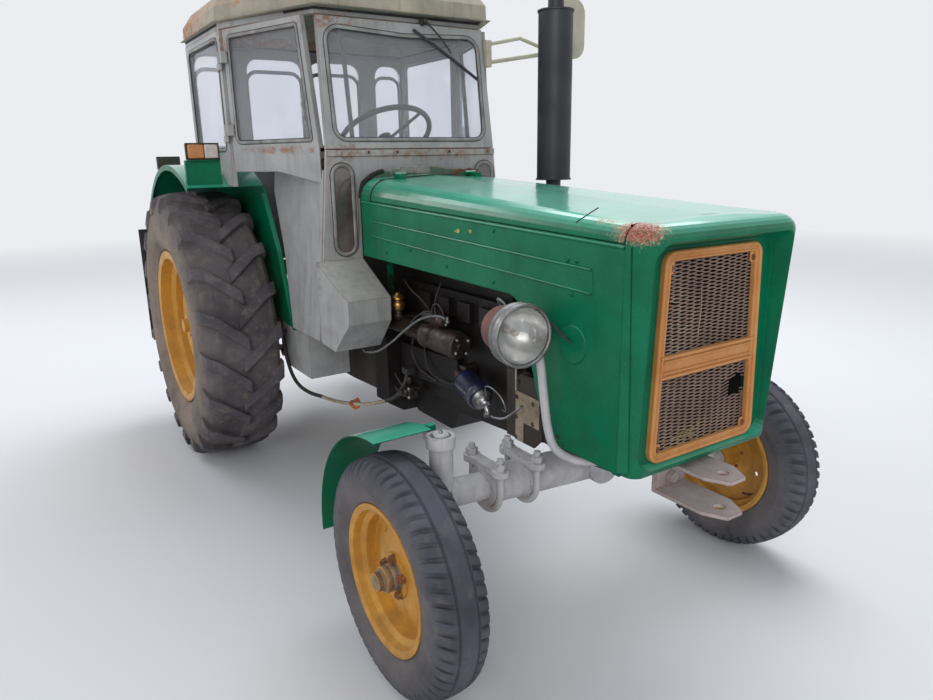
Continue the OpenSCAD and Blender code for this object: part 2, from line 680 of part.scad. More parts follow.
// Grille: rounded frame, middle bar and two panels of stretched mesh
function grille_outline(d) = let (n = 4, r = 34 - d) concat(
    arc([grille_top_y - d - r, grille_top_z - d - r], r, 0, 90, n),
    arc([-grille_top_y + d + r, grille_top_z - d - r], r, 90, 180, n),
    arc([-grille_low_y + d + r, grille_low_z + d + r], r, 180, 270, n),
    arc([grille_low_y - d - r, grille_low_z + d + r], r, 270, 360, n));
bar_z = 962;
bar_h = 62;
function frame_y(z) = lerp(grille_low_y, grille_top_y,
    (z - grille_low_z) / (grille_top_z - grille_low_z)) - grille_rim;
module grille() {
    color([0.78, 0.52, 0.28]) place() union() {
        difference() {
            cross_sheet(grille_outline(0), face_x + gap, 12);
            cross_sheet(grille_outline(grille_rim), face_x - 5, 40);
        }
        box(face_x + gap, face_x + 11, -grille_low_y + 20, grille_low_y - 20, bar_z - bar_h / 2,
            bar_z + bar_h / 2);
        for (z = [bar_z - bar_h / 2, bar_z + bar_h / 2 - 8]) box(face_x + 10, face_x + 16,
            -grille_low_y + 26, grille_low_y - 26, z, z + 8);
    }
}
// stretched mesh behind the frame; its diamonds are holes in the sheet's outline
module grille_mesh() {
    w = mesh_pitch;
    h = mesh_pitch * 0.5;
    m = 3;
    rim = grille_outline(14);
    n = len(rim);
    holes = [for (b = [[grille_low_z + grille_rim, bar_z - bar_h / 2],
        [bar_z + bar_h / 2, grille_top_z - grille_rim]])
        for (j = [0:30]) let (z = b[0] + h * 0.7 + j * h / 2) if (z < b[1] - h * 0.6)
        for (i = [-12:12]) let (y = (i + (j % 2) / 2) * w) if (abs(y) < frame_y(z) - w * 0.5) [y, z]];
    points = concat(rim, [for (c = holes) each [[c[0] - w / 2 + m, c[1]], [c[0], c[1] - h / 2 + m / 2],
        [c[0] + w / 2 - m, c[1]], [c[0], c[1] + h / 2 - m / 2]]]);
    paths = concat([[for (i = [0:n - 1]) i]], [for (k = [0:len(holes) - 1]) [for (i = [0:3])
        n + k * 4 + i]]);
    color([0.45, 0.33, 0.22]) place() translate([face_x - 2, 0, 0]) rotate([90, 0, 90])
        linear_extrude(2) polygon(points, paths);
}

// Exhaust on the left: manifold pipe, silencer and tail pipe
module exhaust() {
    x = exhaust_x;
    y = exhaust_y;
    color([0.12, 0.12, 0.14]) place() union() {
        rod([x, engine_y + gap, 930], [x, y, 930], 30);
        translate([x, y, 930]) sphere(r = 30, $fn = 24);
        translate([x, y, 930]) cylinder(h = silencer_z - 930 + 5, r = 30);
        translate([x, y, silencer_z]) cylinder(h = silencer_h, r = silencer_r);
        for (z = [silencer_z, silencer_z + silencer_h - 6]) translate([x, y, z])
            cylinder(h = 7, r = silencer_r + 4);
        translate([x, y, silencer_z + silencer_h - eps]) cylinder(h = 200, r = 31);
        box(1300, 1880, engine_y + gap, engine_y + 55, 905, 960);
    }
}

// Headlamps on bent stalks
lamp_at = [wheelbase + 140, -420, 1032];
lamp_r = 88;
module headlamp() {
    a = lamp_at;
    foot_x = support_front_x - 15;
    stalk = [[foot_x, -support_y - 6, 660], [foot_x - 35, -290, 664], [foot_x - 80, -336, 690],
        [foot_x - 115, -358, 745], [foot_x - 129, -372, 830], a + [0, 25, -107], a + [-60, 10, -55]];
    rod(a + [-115, 0, 0], a + [-30, 0, 0], 66, 48);
    rod(a + [-31, 0, 0], a + [0, 0, 0], lamp_r - 6, 48);
    rod(a + [-1, 0, 0], a + [26, 0, 0], lamp_r, 48);
    rod(a + [25, 0, 0], a + [34, 0, 0], lamp_r - 10, 48);
    tube_path(stalk, 13);
    rod([foot_x, -support_y - gap, 660], [foot_x, -support_y - 12, 660], 22);
}
module headlamps() {
    color([0.62, 0.62, 0.63]) place() both() headlamp();
}

// Rear fenders: inner wall, arched deck and outer lip
deck_front = 61;
flap_y = 858;
deck_rear = 148;
module rear_fender() {
    c = [0, rear_axle_z];
    wall = concat([[700, 737], [572, 1090], [420, 1345]],
        arc(c, deck_r - eps, deck_front + 2, deck_rear - 2, 16),
        [[-560, 860], [-190, 800], [190, 800], [560, 740]]);
    arc_strip(c, deck_r, skin_t, deck_front, deck_rear, -deck_y, deck_y - wall_y);
    long_sheet(wall, -wall_y - skin_t, skin_t);
    // rolled outer lip
    arc_strip(c, deck_r, 26, deck_front, deck_rear, -deck_y, skin_t);
    // folded front edge of the wall
    for (i = [0:1]) {
        p = [[700, 737], [572, 1090], [420, 1345]];
        long_sheet([p[i], p[i + 1], p[i + 1] + [-skin_t - 2, 0], p[i] + [-skin_t - 2, 0]],
            -wall_y - 22, 22);
    }
    // feet on the axle housing
    box(-60, 60, -wall_y - skin_t, -wall_y + 26, rear_axle_z + 118 + gap, rear_axle_z + 150);
}
module rear_fenders() {
    color(green) place() both() rear_fender();
}
module mud_flaps() {
    x = deck_r * cos(deck_rear) - gap;
    z = rear_axle_z + deck_r * sin(deck_rear);
    foot = rear_axle_z - 199;
    color(rubber) place() both() long_sheet([[x, z + 20], [x, z - 10], [x - 24, foot],
        [x - 32, foot], [x - 8, z - 10], [x - 8, z + 20]], -flap_y, flap_y - wall_y - 20);
}
module rear_lamps() {
    color([0.80, 0.55, 0.30]) place() both() {
        // front lamp on its bent bracket
        z = deck_z(366) + 108;
        box(362, 400, -788, -640, z, z + 74);
        box(366, 370, -786, -640, deck_z(366) + gap, z + eps);
        for (y = [-786, -644]) box(340, 370, y, y + 4, deck_z(340) + gap, z - 20);
        box(-360, -320, -780, -660, deck_z(320) + 40, deck_z(320) + 110);
        box(-350, -330, -730, -710, deck_z(330) + gap, deck_z(320) + 41);
    }
}

// Cab front: foot to belt, open in the middle behind the bonnet
function side_y(z) = lerp(foot_y, belt_y, (z - foot_z) / (belt_z - foot_z));
function ellipse(y, z, ry, rz, n = 20) = [for (i = [0:n - 1]) let (a = i * 360 / n)
    let (ey = abs(cos(a)) < 0.001 ? 0 : sign(cos(a)) * pow(abs(cos(a)), 0.75) * ry)
    let (ez = abs(sin(a)) < 0.001 ? 0 : sign(sin(a)) * pow(abs(sin(a)), 0.75) * rz) [y + ey, z + ez]];
oval_z = 1292;
module cab_front() {
    color(cab_grey) place() difference() {
        union() {
            difference() {
                cross_sheet([[-foot_y, foot_z], [-belt_y, belt_z], [belt_y, belt_z], [foot_y, foot_z]],
                    cab_x - frame_t, frame_t);
                cross_sheet(concat([[-270, foot_z - 50], [270, foot_z - 50]],
                    arc([225, 1375], 45, 0, 90, 5), arc([-225, 1375], 45, 90, 180, 5)),
                    cab_x - 60, 120);
            }
            for (s = [-1, 1]) cross_sheet(ellipse(s * oval_y, oval_z, 62, 190), cab_x - 1, 9);
            cross_sheet([[-belt_y, belt_z - 26], [-belt_y, belt_z], [belt_y, belt_z],
                [belt_y, belt_z - 26]], cab_x - 1, 9);
        }
        for (s = [-1, 1]) cross_sheet(ellipse(s * oval_y, oval_z, 43, 165), cab_x - 60, 120);
    }
}

// Windscreen frame, leaning back from the belt
screen_h = 505;
module at_screen() {
    place() translate([cab_x, 0, belt_z + frame_t * sin(screen_lean) + gap]) rotate([0, -screen_lean, 0])
        children();
}
function screen_hole(d) = let (h = screen_h, y = lerp(belt_y, head_y, 0.5) - 36 + d) concat(
    arc([y - 60, h - 95 + d], 60, 0, 90, 5), [[0, h - 52 + d]],
    arc([-y + 60, h - 95 + d], 60, 90, 180, 5),
    arc([-y + 50, 86 - d], 50, 180, 270, 5), arc([y - 50, 86 - d], 50, 270, 360, 5));
module windscreen_frame() {
    color(cab_grey) at_screen() union() {
        difference() {
            cross_sheet([[-belt_y, 0], [-head_y, screen_h], [head_y, screen_h], [belt_y, 0]],
                -frame_t, frame_t);
            cross_sheet(screen_hole(0), -60, 120);
        }
        for (s = [-1, 1]) box(-frame_t, -frame_t / 2 - glass_t, s * 280 - 8, s * 280 + 8, 30,
            screen_h - 30);
    }
}
module windscreen() {
    color([0.75, 0.82, 0.85, 0.35]) at_screen() cross_sheet(screen_hole(-gap),
        -frame_t / 2 - glass_t / 2, glass_t);
}

// Rear quarters of the cab: pillar, sill, window and skirt down to the deck
quarter_x0 = cab_rear_x + frame_t + gap;
sill_z = rear_axle_z + deck_r + 32;
function deck_z(x) = rear_axle_z + sqrt(deck_r * deck_r - x * x);
module cab_side() {
    n = 10;
    foot = [for (i = [0:n]) let (x = lerp(quarter_x0, 388, i / n)) [x, deck_z(x) + 1.5]];
    color(cab_grey) difference() {
        long_sheet(concat(foot, [[pillar_x, deck_z(388)], [pillar_x, head_z], [quarter_x0, head_z]]),
            -pillar_y, frame_t);
        long_sheet(rounded(quarter_x0 + 28, pillar_x - 48, sill_z + 30, head_z - 30, 30),
            -pillar_y - 50, 120);
    }
    // fixed halves of the door's hinges, with their pins
    for (z = hinge_zs) {
        translate([hinge_x, -hinge_y, z - gap - 26]) cylinder(h = 26, r = 9);
        translate([hinge_x, -hinge_y, z - gap - 5]) cylinder(h = hinge_h + 5, r = hinge_pin_r);
        box(pillar_x - 30, hinge_x, -hinge_y - 5, -pillar_y + eps, z - gap - 26, z - gap);
    }
    // header that carries the roof from the pillar to the windscreen
    hull() {
        box(pillar_x - frame_t, pillar_x, -pillar_y, -pillar_y + frame_t, head_z + gap, head_z + 26);
        box(950, 970, -head_y, -head_y + frame_t, head_z + gap, head_z + 26);
    }
}
module cab_sides() {
    color(cab_grey) place() both() cab_side();
}
// columns are the middle of a rear window and half of its width
rear_windows = [[-500, 82], [-170, 150], [170, 150], [500, 82]];
function rear_hole(w, d) = let (h = w[1] - d) concat([[w[0] - h, sill_z + 48 + d],
    [w[0] + h, sill_z + 48 + d]], arc([w[0] + h - 60, 1945 - d], 60, 0, 90, 6),
    arc([w[0] - h + 60, 1945 - d], 60, 90, 180, 6));
module cab_rear() {
    y = pillar_y;
    color(cab_grey) place() difference() {
        cross_sheet([[-y, deck_z(128) + 2], [-y, head_z], [y, head_z], [y, deck_z(128) + 2],
            [wall_y - gap, deck_z(128) + 2], [wall_y - gap, 958], [-wall_y + gap, 958],
            [-wall_y + gap, deck_z(128) + 2]], cab_rear_x, frame_t);
        for (w = rear_windows) cross_sheet(rear_hole(w, 0), cab_rear_x - 40, 120);
    }
}

// Roof: crowned sheet with a drip rail, open below
function roof_plan(d) = [[1040 - d, -head_y - 22 + d], [pillar_x, -pillar_y - 26 + d],
    [cab_rear_x - 26 + d, -pillar_y - 16 + d], [cab_rear_x - 26 + d, pillar_y + 16 - d],
    [pillar_x, pillar_y + 26 - d], [1040 - d, head_y + 22 - d]];
module roof_slab(z, d) {
    translate([0, 0, z]) linear_extrude(2) polygon(roof_plan(d));
}
roof_z = head_z + 26 + gap;
module roof_form(t) {
    hull() {
        roof_slab(roof_z - (t > 0 ? 3 : 0), 14 + t);
        roof_slab(roof_z + 60 - t, 16 + t);
        roof_slab(roof_z + 118 - t, 52 + t);
        roof_slab(roof_z + 158 - t, 130 + t);
        roof_slab(roof_z + roof_h - 30 - t, 300 + t);
    }
}
module roof() {
    color([0.78, 0.68, 0.55]) place() union() {
        difference() {
            roof_form(0);
            roof_form(12);
        }
        difference() {
            roof_slab(roof_z, 0);
            translate([0, 0, -1]) roof_slab(roof_z, 27);
            translate([0, 0, 1]) roof_slab(roof_z, 27);
        }
    }
}

module cab_panes() {
    color([0.75, 0.82, 0.85, 0.35]) place() {
        both() {
            long_sheet(rounded(quarter_x0 + 28 + gap, pillar_x - 48 - gap, sill_z + 30 + gap,
                head_z - 30 - gap, 30), -pillar_y + frame_t / 2, glass_t);
            cross_sheet(ellipse(-oval_y, oval_z, 43 - gap, 165 - gap), cab_x - frame_t / 2, glass_t);
        }
        for (w = rear_windows) cross_sheet(rear_hole(w, gap), cab_rear_x + frame_t / 2, glass_t);
    }
}

// Doors: flared window frame above, skirt and canted lower panel
door_gap = 5;
hinge_x = pillar_x + 12;
hinge_y = pillar_y + 10;
hinge_zs = [1600, 1900];
hinge_h = 48;
hinge_pin_r = 5;
flare = atan((pillar_y - belt_y) / (cab_x - 14 - pillar_x));
door_len = norm([cab_x - 14 - pillar_x, pillar_y - belt_y]);
function door_frame(d) = let (x0 = 24 + d, zl = belt_z + 8 + d, zh = head_z - 4 - d)
    [[x0, zl], [door_len - 34 - d, zl], [door_len - 96 - d, zh], [x0, zh]];
function door_hole(d) = let (x0 = 60 + d, zl = belt_z + 40 + d, zh = head_z - 36 - d, x1 = door_len - 72 - d)
    concat([[x0 + 30, zl], [x1 - 4, zl], [x1 - 52, zh], [x0 + 12, zh], [x0, zh - 12]],
    arc([x0 + 30, zl + 30], 30, 180, 262, 5));
module at_door() {
    translate([pillar_x, -pillar_y, 0]) rotate([0, 0, flare]) children();
}
module door_form() {
    // columns are the place along the tractor and the height
    panel = [[712, 752], [cab_x - frame_t - door_gap, 752], [cab_x - frame_t - door_gap, 1452],
        [440, 1452], [440, 1352], [586, 1092]];
    at_door() difference() {
        union() {
            long_sheet(door_frame(0), 0, frame_t);
            // skirt below the window
            long_sheet([[24, belt_z + 9], [door_len - 34, belt_z + 9], [door_len - 34, 1400],
                [24, 1500]], 0, skin_t + 2);
        }
        long_sheet(door_hole(0), -20, 60);
    }
    // canted panel below, as wide as the cab's front at each height
    intersection() {
        long_sheet(panel, -560, 300);
        rotate([90, 0, 90]) translate([0, 0, 400]) linear_extrude(700) polygon([
            [-side_y(740), 740], [-side_y(1460), 1460], [-side_y(1460) + frame_t, 1460],
            [-side_y(740) + frame_t, 740]]);
    }
    // inner shelf that joins the frame to the panel
    translate([0, 0, 1446]) linear_extrude(6) polygon([[490, -596], [1006, -413], [1006, -391],
        [470, -391], [470, -584]]);
    at_door() box(24, door_len - 60, 0, 4, 1446, 1545);
    // hinge knuckles at the rear edge
    for (z = hinge_zs) difference() {
        union() {
            translate([hinge_x, -hinge_y, z]) cylinder(h = hinge_h, r = 9);
            box(hinge_x, hinge_x + 40, -hinge_y - 3, -hinge_y + 22, z, z + hinge_h);
        }
        translate([hinge_x, -hinge_y, z - 5]) cylinder(h = hinge_h + 10, r = hinge_pin_r + fit);
    }
}
module door() {
    color(cab_grey) place() door_form();
}
module door_glass() {
    color([0.75, 0.82, 0.85, 0.35]) place() at_door() long_sheet(door_hole(gap), frame_t / 2, glass_t);
}

// Sheet boxes round the pedals, ahead of the cab's foot, and step boxes below the floor
module foot_box() {
    side = [[cab_x + gap, 752], [cab_x + gap, 1092], [1335, 968], [1330, 874], [1205, 745]];
    difference() {
        intersection() {
            long_sheet(side, -480, 210);
            translate([0, 0, 700]) linear_extrude(500) polygon([[cab_x, -482], [1210, -482],
                [1340, -470], [1345, -290], [cab_x, -272]]);
        }
        intersection() {
            long_sheet([[cab_x - 10, 740], [cab_x - 10, 1084], [1328, 963], [1323, 877],
                [1200, 750], [1190, 730]], -480 + skin_t, 210 - 2 * skin_t);
            translate([0, 0, 700]) linear_extrude(500) polygon([[cab_x - 10, -482 + skin_t],
                [1210, -482 + skin_t], [1336, -470 + skin_t], [1340, -290 - skin_t],
                [cab_x - 10, -272 - skin_t]]);
        }
    }
}
module foot_boxes() {
    color(cab_grey) place() both() foot_box();
}
module step_box() {
    difference() {
        box(500, 832, -452, -262, 532, 748 - gap);
        box(500 + skin_t, 832 - skin_t, -452 + skin_t, -262 - skin_t, 520, 740);
    }
    box(560, 590, -262 - eps, -150 - gap, 640, 652);
    box(740, 770, -262 - eps, -150 - gap, 640, 652);
}
module step_boxes() {
    color(cab_grey) place() both() step_box();
}
module floor() {
    color([0.20, 0.19, 0.18]) place() both() {
        box(470, 940, -444, -150 - gap, 748, 754);
        box(940 - eps, cab_x - frame_t - gap, -444, -gearbox_y - gap, 748, 754);
        box(260, 470, -wall_y + gap, -150 - gap, 806, 812);
        box(464, 470, -444, -150 - gap, 748, 812);
        box(700, 740, -200, -150 - gap, 700, 748);
    }
}

// Seat on its pedestal
seat_x = 60;
function lift_top_z(x) = lerp(955, 890, (x + 100) / 340);
module seat_base() {
    color([0.20, 0.19, 0.18]) place() union() {
        long_sheet([for (q = [[-60, 0], [150, 0]]) [seat_x + q[0], lift_top_z(seat_x + q[0]) + gap],
            [seat_x + 150, 975], [seat_x - 60, 975]], -90, 180);
        box(seat_x - 20, seat_x + 110, -70, 70, 974, 1130);
        box(seat_x - 40, seat_x + 150, -150, 150, 1130 - eps, 1146);
    }
}
module seat() {
    color([0.16, 0.13, 0.12]) place() union() {
        long_sheet(rounded(seat_x - 150, seat_x + 260, 1146 + gap, 1236, 40), -225, 450);
        long_sheet([[seat_x - 150, 1190], [seat_x - 70, 1190], [seat_x - 110, 1520],
            [seat_x - 140, 1540], [seat_x - 180, 1520]], -215, 430);
    }
}

// Dash with the steering column
wheel_at = [740, 20, 1585];
wheel_tilt = 35;
wheel_axis = [-sin(wheel_tilt), 0, cos(wheel_tilt)];
module dash() {
    color([0.22, 0.21, 0.21]) place() {
        difference() {
            box(cab_x - frame_t - 40, cab_x - frame_t - gap, -300, 300, 757, 1480);
            box(cab_x - frame_t - 60, cab_x, -gearbox_y - gap, gearbox_y + gap, 700, 850 + gap);
        }
        long_sheet([[cab_x - 66, 1260], [cab_x - 66, 1520], [cab_x - 120, 1520], [920, 1430],
            [930, 1300]], -190, 380);
        rod(wheel_at - 415 * wheel_axis, wheel_at - (40 + gap) * wheel_axis, 22);
        box(960, 1040 - gap - eps, -140, 140, 1130, 1262);
        rod([990, 20, 1132], [1000, 20, 851 + gap], 20);
    }
}
module steering_wheel() {
    color([0.10, 0.10, 0.11]) place() translate(wheel_at) rotate([0, -wheel_tilt, 0]) union() {
        rotate_extrude($fn = 48) translate([215, 0]) circle(r = 12, $fn = 16);
        translate([0, 0, -40]) cylinder(h = 46, r = 32);
        for (i = [0:2]) rotate([0, 0, i * 120 + 30]) rod([20, 0, -18], [214, 0, -2], 7, 16);
    }
}

// Knuckle: king pin, drop spindle and steering arm
arm_z = [462, 478];
module knuckle_form() {
    z1 = king_low_z - gap;
    translate([wheelbase, -pin_y, 300]) cylinder(h = king_top_z + 24 - 300, r = king_pin_r);
    translate([wheelbase, -pin_y, 300]) cylinder(h = z1 - 300, r = king_house_r - 2);
    difference() {
        translate([wheelbase, -pin_y, king_top_z + gap]) cylinder(h = 34, r = 42);
        translate([wheelbase, -pin_y, king_top_z + gap + 24]) cylinder(h = 20, r = 30);
    }
    translate([wheelbase - 70, -pin_y - 18, king_top_z + gap + 4]) cube([60, 36, 24]);
    across(wheelbase, -front_y - front_disc_in - 14, -pin_y, front_axle_z, spindle_r);
    across(wheelbase, -front_y + 68, -pin_y, front_axle_z, 34);
    // steering arm with the eye for the track rod
    difference() {
        union() {
            translate([wheelbase - arm_len, -pin_y - 16, arm_z[0]])
                cube([arm_len, 32, arm_z[1] - arm_z[0]]);
            translate([wheelbase - arm_len, -pin_y, arm_z[0]])
                cylinder(h = arm_z[1] - arm_z[0], r = 24);
        }
        translate([wheelbase - arm_len, -pin_y, arm_z[0] - 5]) cylinder(h = 30, r = 8 + fit);
    }
}
module knuckle_right() {
    color([0.66, 0.66, 0.68]) place() knuckle_form();
}
module knuckle_left() {
    color([0.66, 0.66, 0.68]) place() difference() {
        at_left() knuckle_form();
        translate([wheelbase - drag_arm, pin_y, arm_z[0] - 5]) cylinder(h = 30, r = 7 + fit);
    }
}

// Front mudguard, carried by a stay from the king pin's cap
module guard_form() {
    y0 = -front_y + 14 - guard_w / 2;
    y1 = y0 + guard_w;
    arc_strip([wheelbase, front_axle_z], guard_r, 2.5, 89, 184, y0, guard_w);
    // stay from the cap on the king pin
    zc = king_top_z + 28 + 2 * gap;
    box(wheelbase - 69, wheelbase - 45, -pin_y - 12, -pin_y + 12, zc, zc + 20);
    rod([wheelbase - 57, -pin_y, zc + 12], [wheelbase - 57, y1 - 10, front_axle_z + guard_r - 8], 7, 16);
}
module front_guard() {
    color(green) place() guard_form();
}

// Track rod between the steering arms
module tie_rod() {
    x = wheelbase - arm_len;
    z = arm_z[0] - 16;
    color([0.30, 0.29, 0.28]) place() union() {
        across(x, -pin_y, pin_y, z, 13, 24);
        for (s = [-1, 1]) translate([x, s * pin_y, z - 18]) cylinder(h = 28, r = 21);
        for (s = [-1, 1]) translate([x, s * pin_y, z]) cylinder(h = 40, r = 8);
    }
}

// Steering box on the left rail; its drop arm is as long as the knuckle's and stays parallel
drag_arm = 104;
drop_pivot = [wheelbase - 124, 226];
box_z = [566, 650];
drag_z = arm_z[1] + 14;
module drop_arm() {
    p = [drop_pivot[0], drop_pivot[1], drag_z];
    color([0.30, 0.29, 0.28]) place() difference() {
        union() {
            translate([p[0], p[1], p[2] + 14]) cylinder(h = box_z[1] - 20 - p[2] - 14, r = 15);
            translate([p[0], p[1], p[2] + 14]) cylinder(h = 18, r = 26);
            translate([p[0] - drag_arm, p[1] - 13, p[2] + 14]) cube([drag_arm, 26, 18]);
            translate([p[0] - drag_arm, p[1], p[2] + 14]) cylinder(h = 18, r = 22);
        }
        translate([p[0] - drag_arm, p[1], p[2]]) cylinder(h = 60, r = 7 + fit);
    }
}
module drag_link() {
    a = [drop_pivot[0] - drag_arm, drop_pivot[1], drag_z];
    b = [wheelbase - drag_arm, pin_y, drag_z];
    color([0.30, 0.29, 0.28]) place() union() {
        rod(a, b, 10);
        for (p = [a, b]) translate(p - [0, 0, 12]) cylinder(h = 24, r = 18);
        translate(a) cylinder(h = 34, r = 7);
        translate(b - [0, 0, 34]) cylinder(h = 34, r = 7);
    }
}
module steering_box() {
    x = drop_pivot[0];
    y = drop_pivot[1];
    color([0.25, 0.22, 0.20]) place() difference() {
        union() {
            box(x - 44, x + 44, support_y + 8 + gap, y + 42, box_z[0], box_z[1]);
            translate([x, y, box_z[1] - eps]) cylinder(h = 14, r = 34);
            rod([x - 40, y + 14, box_z[1] - 30], [cab_x + 80, y + 14, 912], 12);
            rod([cab_x + 81, y + 14, 911.7], [cab_x - frame_t + 4, y + 14, 923], 26);
        }
        translate([x, y, box_z[0] - 5]) cylinder(h = box_z[1] - 15 - box_z[0], r = 15 + fit);
    }
}

// Three-point linkage
lift_arm_y = 185;
lift_arm_len = 270;
lift_arm_rise = 8;
link_end = [-link_reach + 26, 400, 470];
rod_top = [lift_x - lift_arm_len * cos(lift_arm_rise), lift_z + lift_arm_len * sin(lift_arm_rise)];
module lift_arms() {
    color([0.30, 0.24, 0.20]) place() difference() {
        union() {
            across(lift_x, -lift_arm_y - 24, lift_arm_y + 24, lift_z, lift_shaft_r);
            for (s = [-1, 1]) {
                across(lift_x, s * lift_arm_y - 20, s * lift_arm_y + 20, lift_z, 44);
                translate([lift_x, s * lift_arm_y - 9, lift_z]) rotate([0, lift_arm_rise, 0])
                    translate([-lift_arm_len, 0, -20]) cube([lift_arm_len, 18, 40]);
                across(rod_top[0], s * lift_arm_y - 10, s * lift_arm_y + 10, rod_top[1], 26);
            }
        }
        across(rod_top[0], -300, 300, rod_top[1], 10 + fit);
    }
}
rod_along = 0.556;
rod_eye_r = 27;
module lift_rods() {
    color([0.30, 0.24, 0.20]) place() both() {
        a = [rod_top[0], -lift_arm_y - 32, rod_top[1]];
        p = [link_pivot[0], -link_pivot[1], link_pivot[2]];
        e = [link_end[0], -link_end[1], link_end[2]];
        b = lerp(p, e, rod_along);
        u = (e - p) / norm(e - p);
        v = (a - b) / norm(a - b);
        difference() {
            union() {
                rod(a, b + v * (rod_eye_r + 4), 14);
                across(a[0], -lift_arm_y - 46, -lift_arm_y - 16, a[2], 24);
                across(a[0], -lift_arm_y - 20, -lift_arm_y + 14, a[2], 10);
                rod(lerp(a, b, 0.35), lerp(a, b, 0.75), 22);
                rod(b - u * 13, b + u * 13, rod_eye_r + 11);
            }
            rod(b - u * 60, b + u * 60, rod_eye_r);
        }
    }
}
module lower_links() {
    p = link_pivot;
    color([0.30, 0.24, 0.20]) place() both() difference() {
        a = [p[0], -p[1], p[2]];
        b = [link_end[0], -link_end[1], link_end[2]];
        union() {
            rod(a + [-26, 0, 0], b + [18, 0, 0], 17);
            across(a[0], a[1] - 18, a[1] + 18, a[2], 34);
            across(b[0], b[1] - 22, b[1] + 22, b[2], 26 - gap);
        }
        across(a[0], a[1] - 40, a[1] + 40, a[2], link_pin_r + fit);
        across(b[0], b[1] - 40, b[1] + 40, b[2], 14.35);
    }
}

// Mirror on a tube frame at the left front pillar
module mirror_arm() {
    color([0.70, 0.68, 0.60]) place() union() {
        box(984, 1030, 391.6 + gap, 420, 1880, 1990);
        rod([1016, 412, 1900], [1130, 640, 1935], 9, 16);
        tube_path([[1016, 412, 1975], [1080, 540, 2000], [1128, 636, 1958]], 8);
        rod([1130, 640, 1915], [1130, 640, 2070], 11, 16);
        rod([1130, 640, 2040], [1178, 740, 2040], 8, 16);
        translate([1170, 0, 0]) cross_sheet(rounded(665, 825, 1915, 2165, 60), 0, 18);
    }
}

// Brake hose and pipe on the right side
module pipes() {
    run = [[524, -464, 690], [560, -466, 580], [620, -466, 490], [720, -460, 456], [900, -420, 452],
        [1087, -360, 462], [1262, -268, 524], [1300, -208, 650]];
    lap = 4;
    color([0.25, 0.22, 0.20]) place() union() {
        for (i = [0:len(run) - 2]) {
            u = (run[i + 1] - run[i]) / norm(run[i + 1] - run[i]);
            rod(run[i] - lap * u, run[i + 1] + lap * u, 9, 10);
        }
        box(506, 542, -478, -452 - gap, 682, 704);
        box(1280, 1320, -226, -engine_y - 30 - gap, 630, 656);
    }
}

transmission();
engine();
engine_fittings();
front_support();
front_axle();
front_hitch();
radiator();
nose();
grille();
grille_mesh();
hood_sides();
hood_lid();
cowl();
exhaust();
headlamps();
rear_fenders();
mud_flaps();
rear_lamps();
cab_front();
windscreen_frame();
cab_sides();
cab_rear();
roof();
windscreen();
cab_panes();
door();  // door_right
at_left() door();  // door_left
door_glass();  // door_glass_right
at_left() door_glass();  // door_glass_left
foot_boxes();
step_boxes();
floor();
seat();
seat_base();
dash();
steering_wheel();
at_rear_wheel() rear_tyre();  // rear_tyre_right
at_left() at_rear_wheel() rear_tyre();  // rear_tyre_left
at_rear_wheel() rear_wheel();  // rear_wheel_right
at_left() at_rear_wheel() rear_wheel();  // rear_wheel_left
at_front_wheel() front_tyre();  // front_tyre_right
at_left() at_front_wheel() front_tyre();  // front_tyre_left
at_front_wheel() front_wheel();  // front_wheel_right
at_left() at_front_wheel() front_wheel();  // front_wheel_left
knuckle_right();
knuckle_left();
front_guard();  // front_guard_right
at_left() front_guard();  // front_guard_left
tie_rod();
drag_link();
drop_arm();
steering_box();
lift_arms();
lift_rods();
lower_links();
mirror_arm();  // mirror
pipes();
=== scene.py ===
# %% [markdown]
# # Dressing a vintage tractor
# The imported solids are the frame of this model. They give every panel, wheel and
# joint its real place, so this script never moves them. It adds what a solid can't
# show: paint that has faded and chipped, rust, seals, wires, glass and small parts.

# %% Load the frame
import functools
import json
import math

import bmesh
import bpy
import numpy as np
from mathutils import Matrix, Vector


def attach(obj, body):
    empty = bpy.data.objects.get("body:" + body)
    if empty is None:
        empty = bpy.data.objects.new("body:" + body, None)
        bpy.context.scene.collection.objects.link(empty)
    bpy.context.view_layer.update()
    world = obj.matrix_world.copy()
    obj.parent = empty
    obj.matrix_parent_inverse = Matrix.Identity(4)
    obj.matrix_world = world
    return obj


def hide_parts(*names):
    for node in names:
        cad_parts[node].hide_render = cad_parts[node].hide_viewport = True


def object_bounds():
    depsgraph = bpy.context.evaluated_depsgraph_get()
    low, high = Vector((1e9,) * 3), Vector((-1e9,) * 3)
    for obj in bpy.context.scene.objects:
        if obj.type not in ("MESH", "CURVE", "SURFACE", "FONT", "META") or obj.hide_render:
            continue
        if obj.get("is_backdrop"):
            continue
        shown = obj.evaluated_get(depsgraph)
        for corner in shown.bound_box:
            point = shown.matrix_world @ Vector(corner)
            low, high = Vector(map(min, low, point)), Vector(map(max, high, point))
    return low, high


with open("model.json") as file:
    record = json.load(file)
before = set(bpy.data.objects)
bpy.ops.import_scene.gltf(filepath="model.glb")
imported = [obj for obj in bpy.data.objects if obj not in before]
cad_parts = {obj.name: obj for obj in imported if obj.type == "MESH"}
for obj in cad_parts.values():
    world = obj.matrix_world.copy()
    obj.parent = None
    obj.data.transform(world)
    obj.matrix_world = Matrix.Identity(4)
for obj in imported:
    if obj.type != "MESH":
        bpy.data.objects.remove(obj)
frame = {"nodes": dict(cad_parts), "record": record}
nodes = frame["nodes"]
box_low, box_high = (list(corner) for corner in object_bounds())
print("solids:", len(nodes), "length", round(box_high[0] - box_low[0], 3), "m")

# %% [markdown]
# The drawing of the part stands on the rear axle and is in millimetres, while this
# scene is in metres and has its origin under the middle of the tractor. One small
# function carries a drawing point over, so every place below can be read against
# the drawing.

